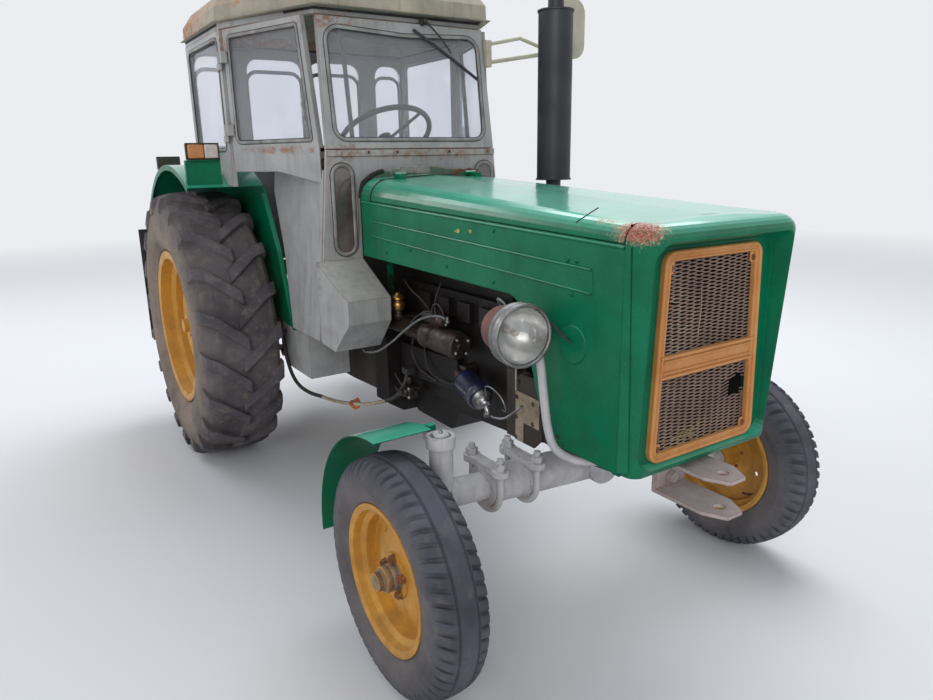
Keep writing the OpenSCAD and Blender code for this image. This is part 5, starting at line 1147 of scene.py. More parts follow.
def ribbed_tyre(side):
    section = TREAD + [(radius, -along, depth) for radius, along, depth in reversed(TREAD)]
    x, y, z = FRONT_HUB
    points = []
    for notch in range(NOTCHES):
        uneven = 0.78 + 0.22 * math.sin(notch * 2.4)
        for share, sunk in NOTCH_STEPS:
            sunk *= uneven
            turn = 2 * math.pi * (notch + share) / NOTCHES
            for r, along, cut in section:
                # the notches run back towards the wall, as the ribs' blocks are slanted
                a = turn + NOTCH_SLANT * max(abs(along) - 34, 0) * (1 if along > 0 else -1)
                points.append(mm(x + (r - sunk * cut) * math.sin(a), side * y + along,
                                 z + (r - sunk * cut) * math.cos(a)))
    turns, size = NOTCHES * len(NOTCH_STEPS), len(section)
    faces = [(i * size + k, i * size + (k + 1) % size, (i + 1) % turns * size + (k + 1) % size,
              (i + 1) % turns * size + k) for i in range(turns) for k in range(size)]
    return points, faces


for side, name in SIDES:
    made = piece("front_tread_" + name, ribbed_tyre(side), "front_rubber", "rubber",
                 body="wheel_front_" + name, angle=38, replaces=["front_tyre_" + name])
print("front tyres:", len(made.data.polygons), "faces each")

# %% Wheel bolts and hubs
def bolt_circle(centre, side, radius, count, out):
    x, y, z = centre
    turns = [2 * math.pi * k / count for k in range(count)]
    return [(mm(x + radius * math.sin(a), side * (y + out), z + radius * math.cos(a)), (0, side, 0))
            for a in turns]


for side, name in SIDES:
    bolts("rear_wheel_bolts_" + name, bolt_circle(REAR_HUB, side, 100, 8, 46), "wheel_paint",
        body="wheel_rear_" + name, head=13.8, height=19.5, washer=17.5)
    bolts("front_wheel_bolts_" + name, bolt_circle(FRONT_HUB, side, 54, 5, 28), "wheel_paint", "ochre_bolt",
        body="wheel_front_" + name, head=11.8, height=13.5, washer=14.5)
    x, y, z = FRONT_HUB
    cap = turned([(0, 91.5), (9, 91.3), (10.5, 90), (12.5, 91.2), (20, 90.8), (27.2, 88), (27.8, 76),
        (26.8, 74.5), (27.8, 73), (27.8, 70), (34, 68), (37.5, 66), (38.8, 63), (38.8, 50), (37.6, 48.5),
        (38.8, 47), (38.8, 30), (46, 28.5), (47, 28.1), (0, 28.1)], mm(x, side * y, z), (0, side, 0))
    piece("hub_cap_" + name, cap, "hub_metal", "wheel_paint", body="wheel_front_" + name, angle=40)
    valve = pipe(((x + 136, y - 20, z - 115), (x + 130, y - 44, z - 110), (x + 120, y - 62, z - 102)),
                 0.004, 8, side=side)
    piece("valve_" + name, valve, "black_hose", "rubber", body="wheel_front_" + name)

# %% Grease points and caps on the front axle
for side, name in SIDES:
    nipple = turned([(0, 16), (3, 15), (3.6, 11), (2.6, 9), (5, 6), (6.2, 4), (6.2, 0), (0, 0)],
        mm(2190, side * 590, 744.5), UPWARDS, 16)
    piece("grease_point_" + name, nipple, "bright_metal", "axle_paint", body="knuckle_" + name)
    nut = turned([(0, 0), (24, 0), (25.5, 2), (25.5, 14), (22, 17), (0, 17)], mm(2190, side * 590, 728),
        UPWARDS, 6)
    piece("king_pin_nut_" + name, nut, "axle_paint", body="knuckle_" + name, bevel=0.001)

# %% [markdown]
# ## Cab
# Each pane sits in a rubber profile that grips the glass and the sheet round its hole.
# From outside one sees a grey band with a thin dark joint on both sides. Each is a half
# round section carried round the hole's outline, with its flat side on the sheet, so
# one function makes every seal once each hole is an outline in its own plane.

# %% Window seals
LEAN_BACK = math.radians(7.2)
CAB_X, BELT_Z, CAB_REAR_X, PILLAR = 1060, 1530, -150, (460, 612)
FLARE = math.radians(19.63)


def on_screen(y, up, out=0.0):
    """A place on the windscreen frame's front: across, up the slope, and out of it."""
    return mm(CAB_X + out * math.cos(LEAN_BACK) - up * math.sin(LEAN_BACK), y,
              BELT_Z + 3.1 + out * math.sin(LEAN_BACK) + up * math.cos(LEAN_BACK))


def on_door(side):
    """Places on a door's outer face: along it from the pillar, up, and out of it."""
    def place(along, z, out=0.0):
        return mm(PILLAR[0] + along * math.cos(FLARE) + out * math.sin(FLARE),
                  side * (PILLAR[1] - along * math.sin(FLARE) + out * math.cos(FLARE)), z)
    return place


SCREEN_OUT = (math.cos(LEAN_BACK), 0, math.sin(LEAN_BACK))
DOOR_OUT = {side: (math.sin(FLARE), side * math.cos(FLARE), 0) for side in (-1, 1)}
screen_hole = rounded([(359, 470, 60), (0, 453, 300), (-359, 470, 60), (-359, 36, 50), (359, 36, 50)])
door_hole = rounded([(60, 1570, 30), (546, 1570, 8), (498, 2004, 8), (60, 2004, 12)])
OVAL_Y, OVAL_Z, OVAL_HALF = 347, 1292, (44, 178)
quarter_hole = rounded([(-100, 1542), (412, 1542), (412, 2010), (-100, 2010)], 30)
SEAL_SUNK = -1.5


def seal(outline, place, normal, width, height, shift=0.0):
    section = [(a + shift, b) for a, b in half_round(width, height)]
    return swept([place(a, b, SEAL_SUNK) for a, b in outline], section, True, normal)


def window_seal(name, outlines, width=0.015, body="chassis", height=0.006):
    """A grey profile with a thin dark joint on both sides, for (outline, place, normal) rows."""
    band = joined(*(seal(*row, width, height) for row in outlines))
    lines = joined(*(seal(*row, 0.0032, height * 0.62, way * (width / 2 + 0.0004))
                     for row in outlines for way in (-1, 1)))
    piece(name + "_band", band, "seal_grey", "rubber", body=body, angle=60)
    piece(name + "_joint", lines, "seal_rubber", "rubber", body=body, angle=60)


window_seal("windscreen_seal", [(screen_hole, on_screen, SCREEN_OUT)], 0.016)
for side, name in SIDES:
    window_seal("door_seal_" + name, [(door_hole, on_door(side), DOOR_OUT[side])], body="door_" + name)
    oval = rounded([(OVAL_Y + s * OVAL_HALF[0], OVAL_Z + up * OVAL_HALF[1])
                    for s, up in ((-1, -1), (1, -1), (1, 1), (-1, 1))], 42)
    pane = [(side * a / 1000, b / 1000) for a, b in oval]
    piece("oval_pane_" + name, plate(pane[::side], mm(1069.2, 0, 0), ACROSS, UPWARDS, 0.001),
          "oval_glass", "glass")
    window_seal("quarter_seal_" + name, [
        (quarter_hole, lambda x, z, out, side=side: mm(x, side * (PILLAR[1] + out), z), (0, side, 0))])
    window_seal("oval_seal_" + name, [
        (oval, lambda y, z, out, side=side: mm(1068 + out, side * y, z), FORWARD)], 0.017)
rear_seals = []
for middle, half in ((-500, 82), (-170, 150), (170, 150), (500, 82)):
    hole = rounded([(middle - half, 1560, 6), (middle + half, 1560, 6), (middle + half, 1945, 60),
                    (middle - half, 1945, 60)])
    rear_seals.append((hole, lambda y, z, out: mm(CAB_REAR_X - out, y, z), (-1, 0, 0)))
window_seal("rear_seals", rear_seals)
strips = []
for y in (-280, 280):
    a, b, c, d = (on_screen(y + dy, up, -15.8) for dy, up in ((-9, 44), (9, 44), (9, 462), (-9, 462)))
    out = Vector(SCREEN_OUT) * 0.0018
    strips.append(([a, b, c, d, a + out, b + out, c + out, d + out],
                   [(0, 1, 2, 3), (7, 6, 5, 4), (0, 4, 5, 1), (1, 5, 6, 2), (2, 6, 7, 3), (3, 7, 4, 0)]))
piece("screen_strips", joined(*strips), "dark_lens", "rubber")

# %% Roof seal
# a rubber strip closes the joint between the roof and the tops of the walls
ROOF_SEAL = [(-147, -609), (457, -609), (975, -384), (975, 384), (457, 609), (-147, 609)]
for name, low, high, finish, slot in (("roof_edge", 0.0, 0.0165, "cab_paint", "cab_paint"),
                                      ("roof_seal", 0.0165, 0.0258, "seal_rubber", "rubber")):
    strip = [(-0.002, low), (0.002, low), (0.002, high), (-0.002, high)]
    piece(name, swept([mm(x, y, 2040.4) for x, y in ROOF_SEAL], strip, True, UPWARDS), finish, slot)

# %% Wiper and sun visor
arm = tube([on_screen(85, 512, 26), on_screen(120, 488, 22), on_screen(165, 446, 20),
    on_screen(209, 392, 18)], 0.0035, 8)
pivot = turned([(0, 34), (8, 33), (10, 28), (10, 16), (14, 14), (14, 0), (0, 0)], on_screen(85, 512, 0),
    SCREEN_OUT, 24)
motor = tube([on_screen(85, 512, 22), on_screen(108, 497, 24)], 0.006, 10)
piece("wiper_arm", joined(arm, pivot, motor), "black_hose", "black_steel")
blade_ends = on_screen(36, 478, 9), on_screen(340, 292, 9)
bow = [0.004 * math.sin(math.pi * k / 12) for k in range(13)]
blade_path = [blade_ends[0].lerp(blade_ends[1], k / 12) + Vector(SCREEN_OUT) * out
              for k, out in enumerate(bow)]
blade_half = [(0.007, 0), (0.0015, -0.003), (0.001, -0.012)]
blade_section = ([(-0.007, 0), (-0.005, 0.004), (0.005, 0.004)] + blade_half
                 + [(-a, b) for a, b in reversed(blade_half[1:])])
piece("wiper_blade", swept(blade_path, blade_section, False, SCREEN_OUT), "seal_rubber", "black_steel")
VISOR_TOP = 488
visor = [(y, 470 - 55 * math.cos(math.pi * y / 700) ** 0.7) for y in range(-340, 341, 20)]
visor = [(y / 1000, up / 1000) for y, up in visor + [(340, VISOR_TOP), (-340, VISOR_TOP)]]
up_screen = (-math.sin(LEAN_BACK), 0, math.cos(LEAN_BACK))
piece("sun_visor", plate(visor, on_screen(0, 0, -28), ACROSS, up_screen, 0.004), "dark_lens", "black_steel",
      bevel=0.001)

# %% Clips, latches and mirror glass
clips = [block(mm(1067.5, y - 13, 1511), mm(1071, y + 13, 1527)) for y in (-226, -95, 161, 366)]
piece("belt_clips", joined(*clips), "cab_paint", bevel=0.001)
bolts("belt_screws", [(mm(1071, y, 1519), FORWARD) for y in (-226, -95, 161, 366)], "cab_paint", head=4.5,
    height=3, washer=6)
for side, name in SIDES:
    place = on_door(side)
    latch = joined(tube([place(520, 1640, 4), place(522, 1668, 12), place(518, 1700, 14),
        place(514, 1728, 8)], 0.0045, 10), block(place(508, 1632, 0), place(530, 1648, 6)))
    piece("door_latch_" + name, latch, "bright_metal", "cab_paint", body="door_" + name)
    bolts("hinge_screws_" + name, [(place(x, z, 4), DOOR_OUT[side]) for x in (38, 48)
                                   for z in (1612, 1636, 1912, 1936)],
          "cab_paint", body="door_" + name, head=5.5, height=4, washer=7)
head = [(-y / 1000, z / 1000) for y, z in rounded([(676, 1926), (814, 1926), (814, 2154), (676, 2154)], 50)]
piece("mirror_glass", plate(head, mm(1169.4, 0, 0), (0, -1, 0), UPWARDS, 0.001), "mirror_glass",
    "mirror_paint")

# %% [markdown]
# ## Engine bay
# Below the bonnet the engine stands open. What hangs on it is turned or cast, so the
# starter, both filters and the fan are turned profiles with their flanges and beads,
# and hoses and pipes are tubes on smooth paths. They stand for the plain solids.

# %% Engine fittings
STARTER_Y, STARTER_Z = -218, 838
starter = turned([(0, 0), (30, 0), (37, 6), (37, 20), (34, 24), (34, 160), (37, 200), (37, 290), (44, 300),
    (50, 309), (52.5, 315), (52.5, 325), (50.5, 328), (50.5, 400), (51.5, 402), (51.5, 409), (50.5, 411),
    (50.5, 502), (52.5, 504), (52.5, 512), (50.5, 516), (49, 540), (43, 547), (16, 548), (15, 555), (0, 555)],
    mm(1180.4, STARTER_Y, STARTER_Z), FORWARD)
solenoid = turned([(0, 0), (20, 0), (25, 4), (25, 105), (27, 107), (27, 115), (22, 119), (21, 142), (8, 144),
    (0, 144)], mm(1495, STARTER_Y - 6, STARTER_Z + 76), FORWARD, 32)
saddle = block(mm(1530, -232, 872), mm(1600, -200, 894))
bracket = block(mm(1560, STARTER_Y, 820), mm(1600, -150.3, 850))
piece("starter", joined(starter, solenoid, saddle, bracket), "oily_steel", "fittings", bevel=0.002, angle=40,
    replaces=["engine_fittings"])
bolts("starter_screws", [(mm(1735, STARTER_Y + 33 * math.cos(a), STARTER_Z + 33 * math.sin(a)), FORWARD)
    for a in (0.6, 2.2, 3.8, 5.3)] + [(mm(1638, STARTER_Y - 6, STARTER_Z + 76 + s * 12), FORWARD, 0.9)
    for s in (-1, 1)], "fittings", "bright_metal", head=6, height=4, washer=8)

FILTER_BACK, FILTER_FRONT = mm(1742, -214, 716), mm(1886, -240, 690)
along = (FILTER_FRONT - FILTER_BACK).normalized()
oil_filter = turned([(0, -2), (30, 0), (41, 4), (45.5, 12), (47, 24), (47, 118), (48.5, 121), (48.5, 130),
    (46, 134), (45.5, 142), (41, 147), (0, 147)], FILTER_BACK, along, 64)
piece("oil_filter", oil_filter, "filter_blue", "fittings", angle=50, replaces=["engine_fittings"])
fitting = turned([(0, 146), (34, 146), (36, 149), (36, 154), (31, 158), (26, 162), (24, 172), (19, 178),
    (15, 181), (15, 190), (11, 194), (0, 194)], FILTER_BACK, along, 32)
elbow = tube([FILTER_BACK + along * 0.17, FILTER_BACK + along * 0.19 + Vector((0.004, 0, -0.018)),
              FILTER_BACK + along * 0.19 + Vector((0.006, 0, -0.045))], 0.0095, 12)
nut = turned([(9, 0), (14, 0), (14, 14), (9, 14)], FILTER_BACK + along * 0.19 + Vector((0.005, 0, -0.03)),
    (0, 0, -1), 6)
neck = turned([(0, 0), (22, 0), (22, 52), (0, 52)], mm(1690, -205, 726), along, 32)
holder = block(mm(1690, -205, 700), mm(1730, -150.3, 760))
piece("filter_fitting", joined(fitting, elbow, nut), "bright_metal", "fittings", angle=30)
piece("filter_holder", joined(neck, holder), "oily_steel", "fittings", bevel=0.003,
    replaces=["engine_fittings"])

FUEL_AT = mm(1300, -240, 868)
brass = turned([(0, 108), (6, 108), (10, 105), (11.5, 99), (18, 95), (23.5, 90), (26.5, 85), (26.5, 81),
    (20, 78), (19.5, 73), (25.5, 69), (27.5, 62), (27.2, 50), (23.5, 40), (19, 36), (0, 36)], FUEL_AT,
    UPWARDS)
stem = turned([(0, 37), (16.5, 37), (16.5, 26), (20, 24), (20, 12), (16, 10), (16, 0), (0, 0)], FUEL_AT,
    UPWARDS)
piece("fuel_filter", brass, "brass", "fittings", angle=50, replaces=["engine_fittings"])
piece("fuel_filter_stem", joined(stem, block(mm(1280, -256, 867.8), mm(1320, -150.3, 880))), "oily_steel",
    "fittings", bevel=0.001, replaces=["engine_fittings"])

pump = block(mm(1420, 150.3, 700), mm(1700, 212, 850))
outlets = [turned([(0, 0), (12, 0), (12, 18), (9.5, 20), (9.5, 34), (0, 36)], mm(1455 + i * 62, 184, 849.5),
    UPWARDS, 20) for i in range(4)]
piece("injection_pump", joined(pump, *outlets), "oily_steel", "fittings", bevel=0.004,
    replaces=["engine_fittings"])
lines = [tube([mm(1455 + i * 62, 184, 880), mm(1450 + i * 66, 186, 925), mm(1430 + i * 110, 172, 985),
               mm(1400 + i * 140, 128, 1016)], 0.0032, 8) for i in range(4)]
piece("injection_lines", joined(*lines), "bright_metal", "fittings")

FAN_X = 2000
hub = turned([(0, 0.4), (36, 0.4), (40, 6), (40, 64), (34, 68), (30, 78), (0, 80)], mm(FAN_X, 0, 905),
    FORWARD)
blades = []
for k in range(4):
    turn = math.radians(90 * k + 20)
    out = Vector((0, -math.sin(turn), math.cos(turn)))
    side_way = Vector((math.sin(math.radians(25)), math.cos(math.radians(25)) * out.z,
                       -math.cos(math.radians(25)) * out.y))
    blades.append(plate(rounded([(-0.030, 0.022), (0.030, 0.022), (0.038, 0.218), (-0.038, 0.218)], 0.008),
                        mm(FAN_X + 42, 0, 905), side_way, out, 0.003))
piece("fan", joined(hub, *blades), "oily_steel", "fittings", angle=40, replaces=["engine_fittings"])
print("engine fittings done")

# %% Cables, hoses and pipes
SUPPORT_FACE = -176.6
cable = pipe(((1104, -322, 762), (1120, -330, 738), (1148, -334, 722), (1186, -338, 719), (1258, -320, 736),
    (1348, -300, 790), (1424, -280, 850), (1509, -262, 904), (1590, -250, 930), (1640, -242, 934),
    (1648, -234, 926)), 0.0046, 10)
piece("battery_cable", cable, "grey_cable", "black_steel")
lug_end = turned([(0, -4), (8, -4), (9, 0), (9, 8), (5, 10), (5, 20), (0, 21)], mm(1652, -226, 914), UPWARDS,
    6)
piece("cable_terminal", lug_end, "bright_metal", "fittings")
wires = [pipe(path, radius / 1000, 8) for radius, path in (
    (3.8, ((1380, -232, 820), (1430, -252, 880), (1500, -244, 925), (1556, -236, 938), (1600, -230, 915))),
    (3, ((1560, -235, 905), (1580, -246, 962), (1612, -244, 978), (1636, -238, 955), (1640, -232, 918))),
    (3, ((1600, -236, 915), (1585, -240, 960), (1600, -238, 1010), (1588, -205, 1060))),
    (4.5, ((1240, -175, 1010), (1330, -195, 985), (1420, -200, 960), (1500, -214, 935))))]
piece("starter_wires", joined(*wires), "black_hose", "black_steel")
silver = tube([FILTER_FRONT + Vector((0.052, 0.002, -0.046)), mm(1950, -235, 640), mm(1990, -222, 646),
               mm(2022, -205, 672), mm(2034, -190, 690), mm(2036, -170, 694)], 0.0042, 10)
looped = pipe(((1912, -238, 706), (1916, -244, 742), (1950, -240, 744), (1986, -232, 722), (2004, -226, 690),
    (1990, -216, 668), (1962, -210, 668)), 0.0026, 8)
piece("oil_pipes", joined(silver, looped), "bright_metal", "fittings")

hose_start = pipe(((524, -464, 690), (536, -468, 640), (560, -468, 575), (620, -466, 500), (700, -462, 466),
    (800, -452, 458), (900, -430, 461)), 0.0085, 12)
hose_end = pipe(((1258, -300, 516), (1290, -262, 540), (1300, -226, 590), (1300, -206, 648)), 0.0085, 12)
piece("brake_hose", joined(hose_start, hose_end, block(mm(506, -478, 682), mm(542, -452.4, 704)),
    block(mm(1280, -226, 630), mm(1320, -180.4, 656))), "black_hose", "black_steel", bevel=0.002,
    replaces=["pipes"])
piece("brake_pipe", pipe(((890, -432, 461), (980, -412, 462), (1090, -382, 474), (1180, -346, 490),
    (1262, -298, 517)), 0.0078, 12), "beige_pipe", "fittings", replaces=["pipes"])
random = np.random.default_rng(5)
knot = []
for k in range(7):
    at = Vector((random.uniform(-6, 6), random.uniform(-8, 8), random.uniform(-9, 9)))
    at = Vector((1108 + at.x * 1.5, -374 + at.y, 474 + at.z * 1.2))
    loop = [at + Vector(move) for move in (
        (-15, 4, -7), (-5, -13, 5), (9, -4, -10), (14, 12, 2), (-4, 10, 12))]
    knot.append(pipe(loop, random.uniform(0.004, 0.007), 8))
piece("rag_knot", joined(*knot), "rag", "fittings", angle=80)

loose = [pipe(path, radius / 1000, 10) for radius, path in (
    (5.5, ((1120, -196, 640), (1180, -205, 600), (1240, -204, 560), (1300, -200, 540))),
    (7, ((1100, -192, 700), (1140, -214, 640), (1150, -214, 580), (1190, -204, 530), (1270, -196, 520))),
    (5, ((1275, -160, 790), (1290, -178, 720), (1349, -184, 667), (1430, -186, 650), (1491, -182, 640))),
    (4.2, ((1400, -182, 760), (1440, -196, 700), (1500, -198, 668), (1580, -192, 660), (1640, -180, 668))))]
piece("loose_hoses", joined(*loose), "black_hose", "black_steel")
valve_body = joined(
    block(mm(1290, -232, 535), mm(1352, -181, 585)),
    turned([(0, 0), (19, 0), (19, 24), (13, 27), (13, 45), (0, 46)], mm(1321, -224, 560), (0.2, -1, 0.1), 24),
    turned([(0, 0), (12, 0), (12, 20), (0, 22)], mm(1352, -205, 562), FORWARD, 6),
    turned([(0, 0), (14, 0), (14, 30), (8, 34), (0, 34)], mm(1305, -205, 585), UPWARDS, 20))
piece("valve_block", valve_body, "oily_steel", "fittings", bevel=0.003)
bolts("valve_screws", [(mm(1298 + dx, -232, 542 + dz), (0, -1, 0)) for dx in (0, 46) for dz in (0, 36)],
    "fittings", "bright_metal", head=6, height=4, washer=8)

# %% Holed plates beside the radiator
HOLES = [(2003, 717), (1999, 646), (1997, 573), (2088, 714), (2086, 643)]
for side, name in SIDES:
    strap = [(1994, 562), (2037, 562), (2037, 634), (2119, 632), (2119, 733), (1994, 738)]
    corners = [mm(x, 0, z) for x, z in strap]
    outline = rounded([(p.x, p.z) for p in corners], 0.005, 4)
    shell = plate(outline, (0, side * -SUPPORT_FACE / 1000, 0), FORWARD, UPWARDS, 0.003 * -side)
    piece("support_plate_" + name, shell, "beige_plate", "casting", bevel=0.0008)
    # dark discs on the plate stand for its holes: painted shade where one would see into the bay
    hole_shade_discs = [turned([(0, 0), (8.5, 0), (8.5, 0.6), (0, 0.6)], mm(x, side * -SUPPORT_FACE, z), (0, side, 0), 20)
        for x, z in HOLES]
    piece("support_holes_" + name, joined(*hole_shade_discs), "dark_lens", "casting")
rod_up = block(mm(1995, -180, 738), mm(2003, -174, 830))
piece("support_rod", rod_up, "beige_pipe", "casting", bevel=0.001)

# %% [markdown]
# ## Bonnet and the gap behind it
# Small screws hold the side panels, and a rubber strip closes the joint between lid
# and cowl. Behind the cowl a painted tank edge, a roll of foam and a torn rusty sheet
# fill the slot below the windscreen.

# %% Bonnet screws and rubber
HOOD_SCREWS = [(1778, 1142), (2051, 1279), (2049, 1125), (2385, 1228), (2420, 1229), (2404, 1140),
    (1533, 1172), (1341, 1146)]
for side, name in SIDES:
    bolts("hood_screws_" + name, [(mm(x, side * 303.2, z), (0, side, 0)) for x, z in HOOD_SCREWS],
        "hood_paint", "hood_paint", head=5.2, height=3.5, washer=7.5)
    seam_line = [mm(1142 + (2588 - 1142) * k / 12, side * 302.5, 1333 - 48 * (4 + 1448 * k / 12) / 1452 - 7)
        for k in range(13)]
    piece("seam_roll_" + name, swept(seam_line, half_round(0.009, 0.0042), False, (0, side, 0)), "hood_paint",
        angle=60)
    # a flank that carries the nose's side out to the panel's edge
    flank = []
    for z in range(694, 1284, 31):
        inner = 303 - 25 * (1285 - z) / 635
        flank += [mm(2588.5, side * 303.4, z), mm(2612, side * (inner + 0.3), z),
            mm(2588.5, side * (inner - 1), z)]
    faces = [(0, 1, 2), (len(flank) - 1, len(flank) - 2, len(flank) - 3)]
    faces += [(i + a, i + b, i + 3 + b, i + 3 + a) for i in range(0, len(flank) - 3, 3)
              for a, b in ((0, 1), (1, 2), (2, 0))]
    piece("nose_flank_" + name, (flank, faces), "hood_paint", angle=60)
    # the pressed field's rolled upper and lower edges
    for row, ((z0, z1), width) in enumerate((((1256, 1212), 0.007), ((1198, 1151), 0.005))):
        bead = [mm(1224, side * 306, z0), mm(2478, side * 306, z1)]
        piece("field_bead_%d_%s" % (row, name), swept(bead, half_round(width, 0.0035), False, (0, side, 0)),
            "hood_paint", angle=60)


def bonnet_line(x, lift=0.0):
    """Points over the bonnet from one seam to the other, in millimetres."""
    share = (x - 1138) / (2590 - 1138)
    seam_z, crown = 1333 + (1285 - 1333) * share, 97 + (56 - 97) * share
    bend = crown * 0.82 + lift
    right = [(-303 - lift + bend + bend * math.cos(math.radians(180 - 14 * i)),
              seam_z + crown * 0.06 + bend * math.sin(math.radians(180 - 14 * i))) for i in range(7)]
    return ([(-303 - lift, seam_z)] + right + [(0, seam_z + crown + lift)]
            + [(-y, z) for y, z in reversed(right)] + [(303 + lift, seam_z)])


# the lid rubber is drawn near black and stands partly for the shade in the joint between lid and cowl
strip = [mm(1223, y, z) for y, z in bonnet_line(1223, -2.0)]
piece("lid_rubber", swept(smooth_path(strip, 0.02), circle(0.0048, 8)), "soot", "rubber", angle=60)
strip = [mm(2587, y, z) for y, z in bonnet_line(2587, -4.0)]
piece("nose_rubber", swept(smooth_path(strip, 0.02), circle(0.0034, 8)), "soot", "rubber", angle=60)
random = np.random.default_rng(21)
edge = [(-255, 1405), (-215, 1442), (-150, 1449), (-95, 1462), (-20, 1464), (60, 1457), (130, 1449),
    (205, 1447), (262, 1440)]
edge = [(y, z + random.uniform(-3, 3)) for y, z in edge]
tank = [(y / 1000, z / 1000) for y, z in edge] + [(0.262, 1.30), (-0.255, 1.30)]
piece("tank_edge", plate(tank, mm(1128, 0, 0), ACROSS, UPWARDS, 0.026), "tank_paint", "hood_paint",
    bevel=0.006)
crack = [mm(2415, -303.4, 1327), mm(2428, -300, 1336), mm(2441, -293, 1345), mm(2447, -281, 1354),
    mm(2452, -262, 1364)]
piece("shoulder_crack", tube(crack, 0.0016, 6, 0.006), "soot", "black_steel")
foam = tube([mm(1122, y, z - 3) for y, z in ((-297, 1345), (-289, 1384), (-266, 1414), (-230, 1436),
    (-190, 1446))], 0.01, 12)
foam_points = [p + Vector((0, 0, 0.0015 * math.sin(i * 2.3))) for i, p in enumerate(foam[0])]
piece("foam_roll", (foam_points, foam[1]), "soot", "black_steel", angle=80)
torn = [(0.15, 1.432), (0.172, 1.446), (0.196, 1.441), (0.222, 1.449), (0.248, 1.44), (0.268, 1.443),
    (0.272, 1.405), (0.236, 1.398), (0.196, 1.404), (0.158, 1.4)]
piece("torn_sheet", plate(torn, mm(1134, 0, 0), ACROSS, UPWARDS, 0.002), "rust_metal", "black_steel",
    angle=20)
grey = [(-0.118, 1.436), (-0.112, 1.459), (0.022, 1.461), (0.028, 1.430)]
piece("tank_strap", plate(grey, mm(1130.5, 0, 0), ACROSS, UPWARDS, 0.002), "putty", "black_steel",
    bevel=0.0006)

# %% [markdown]
# ## Driver's place
# The seat is a padded cushion and a padded back in a tube frame. Each starts as a
# rounded block a little smaller than its space, is meshed evenly, blown up gently as
# cloth under pressure and then smoothed, which gives the soft crown of a worn seat.

# %% Padded seat
def padded_block(name, low, high, lean=0.0, cap=0.020):
    low, high = mm(*low), mm(*high)
    work = bmesh.new()
    bmesh.ops.create_cube(work, size=1.0)
    for vertex in work.verts:
        share = vertex.co + Vector((0.5, 0.5, 0.5))
        vertex.co = Vector(a + (b - a) * s for a, b, s in zip(low, high, share))
        vertex.co.x -= lean * (vertex.co.z - low.z)
    mesh = bpy.data.meshes.new(name)
    bmesh.ops.bevel(work, geom=work.edges[:], offset=0.022, segments=3, affect="EDGES", profile=0.6)
    work.to_mesh(mesh)
    work.free()
    made = placed_object(name, mesh)
    remesh = made.modifiers.new("even", "REMESH")
    remesh.mode, remesh.voxel_size = "VOXEL", 0.0085
    cloth = made.modifiers.new("cloth", "CLOTH")
    cloth.settings.use_pressure, cloth.settings.uniform_pressure_force = True, 4.0
    cloth.settings.effector_weights.gravity = 0.0
    for frame_number in range(1, 21):
        bpy.context.scene.frame_set(frame_number)
    shaped = made.evaluated_get(bpy.context.evaluated_depsgraph_get())
    result_mesh = bpy.data.meshes.new_from_object(shaped)
    made.modifiers.clear()
    bpy.context.scene.frame_set(1)
    even = made.modifiers.new("even", "REMESH")
    even.mode, even.voxel_size = "VOXEL", 0.0085
    plain = bpy.data.meshes.new_from_object(made.evaluated_get(bpy.context.evaluated_depsgraph_get()))
    made.modifiers.clear()
    if len(plain.vertices) == len(result_mesh.vertices):
        for before, after in zip(plain.vertices, result_mesh.vertices):
            move = after.co - before.co
            if move.length > cap:
                after.co = before.co + move * (cap / move.length)
    made.data = result_mesh
    return made


SEAM_DEPTH, SEAM_WIDTH = 0.006, 0.010


def seams(made, places, along):
    """Presses sewn channels into a pad's faces along one axis, at places across it in millimetres."""
    for vertex in made.data.vertices:
        facing = vertex.normal[along]
        for place in places:
            near = (vertex.co[1] - place / 1000) / SEAM_WIDTH
            if abs(facing) >= 0.3:
                vertex.co[along] -= math.copysign(SEAM_DEPTH, facing) * math.exp(-near * near)


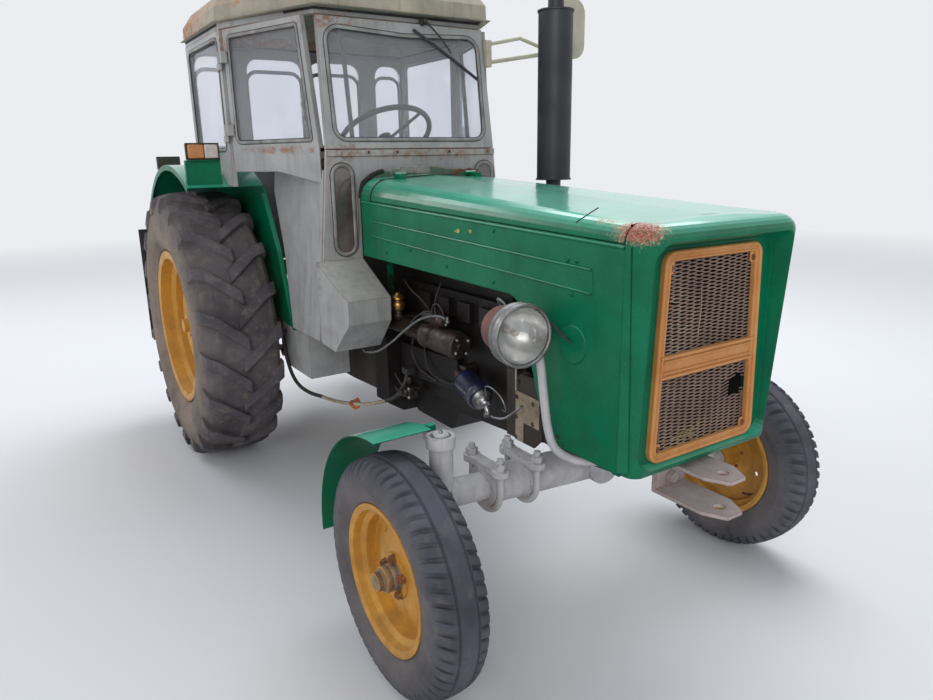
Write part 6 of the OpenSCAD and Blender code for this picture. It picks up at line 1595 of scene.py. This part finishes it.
cushion = padded_block("seat_cushion", (-78, -213, 1154), (308, 213, 1226), cap=0.014)
seams(cushion, (-130, -65, 0, 65, 130), 2)
backrest = padded_block("seat_backrest", (-76, -203, 1246), (-34, 203, 1514), lean=0.13, cap=0.014)
seams(backrest, (-120, -60, 0, 60, 120), 0)
for made in (cushion, backrest):
    smooth = made.modifiers.new("smooth", "SUBSURF")
    smooth.levels = smooth.render_levels = 1
    made.data.materials.clear()
    made.data.materials.append(FINISH["seat_cover"])
    made.data.shade_smooth()
    seat(made, "chassis", "seat_cover", ["seat"])
frame_path = [(-62, -222, 1180), (-72, -222, 1260), (-104, -220, 1450), (-116, -180, 1520),
    (-122, -110, 1546), (-123, 0, 1552), (-122, 110, 1546), (-116, 180, 1520), (-104, 220, 1450),
    (-72, 222, 1260), (-62, 222, 1180)]
piece("seat_frame", pipe(frame_path, 0.011, 12), "black_hose", "black_steel")
print("seat:", len(cushion.data.vertices), "and", len(backrest.data.vertices), "points")

# %% Levers, pedals and dials
lever = pipe(((520, 60, 760), (540, 66, 900), (600, 74, 1080), (640, 90, 1220), (650, 92, 1268)), 0.008, 12)
knob = turned([(0, 30), (10, 29), (18, 22), (21, 10), (18, 0), (10, -6), (0, -6)], mm(651, 92, 1268),
    (0.1, 0, 1), 32)
small = pipe(((480, 130, 760), (500, 140, 900), (530, 150, 1010)), 0.006, 10)
small_knob = turned([(0, 22), (8, 21), (14, 14), (14, 4), (8, -2), (0, -2)], mm(530, 150, 1010), (0.2, 0, 1),
    24)
piece("gear_levers", joined(lever, small), "oily_steel", "linkage_steel")
piece("lever_knobs", joined(knob, small_knob), "wheel_plastic", angle=60)
pedals = []
for y, z in ((-150, 900), (-60, 905), (170, 900)):
    face = rounded([(-0.034, -0.028), (0.034, -0.028), (0.034, 0.028), (-0.034, 0.028)], 0.010)
    pedals.append(plate(face, mm(905, y, z), (0, -1, 0), (0.45, 0, 1), 0.007))
    pedals.append(tube([mm(914, y, z), mm(950, y, z - 24), mm(985, y, z - 90)], 0.008, 10))
piece("pedals", joined(*pedals), "oily_steel", "linkage_steel", bevel=0.002)
dials, rims = [], []
DASH_OUT = Vector((-0.83, 0, 0.55))
for y, z, radius in ((-110, 1464, 42), (0, 1464, 48), (110, 1464, 42)):
    place = mm(936, y, z - 14)
    dials.append(turned([(0, 4), (radius * 0.86, 4), (radius * 0.88, 0), (0, 0)], place, DASH_OUT))
    rims.append(turned([(radius * 0.86, 3), (radius * 0.88, 9), (radius, 9), (radius * 1.04, 0),
                        (radius * 0.86, 0)], place, DASH_OUT))
piece("dials", joined(*dials), "dial_face", "black_steel")
piece("dial_rims", joined(*rims), "chrome", "black_steel")
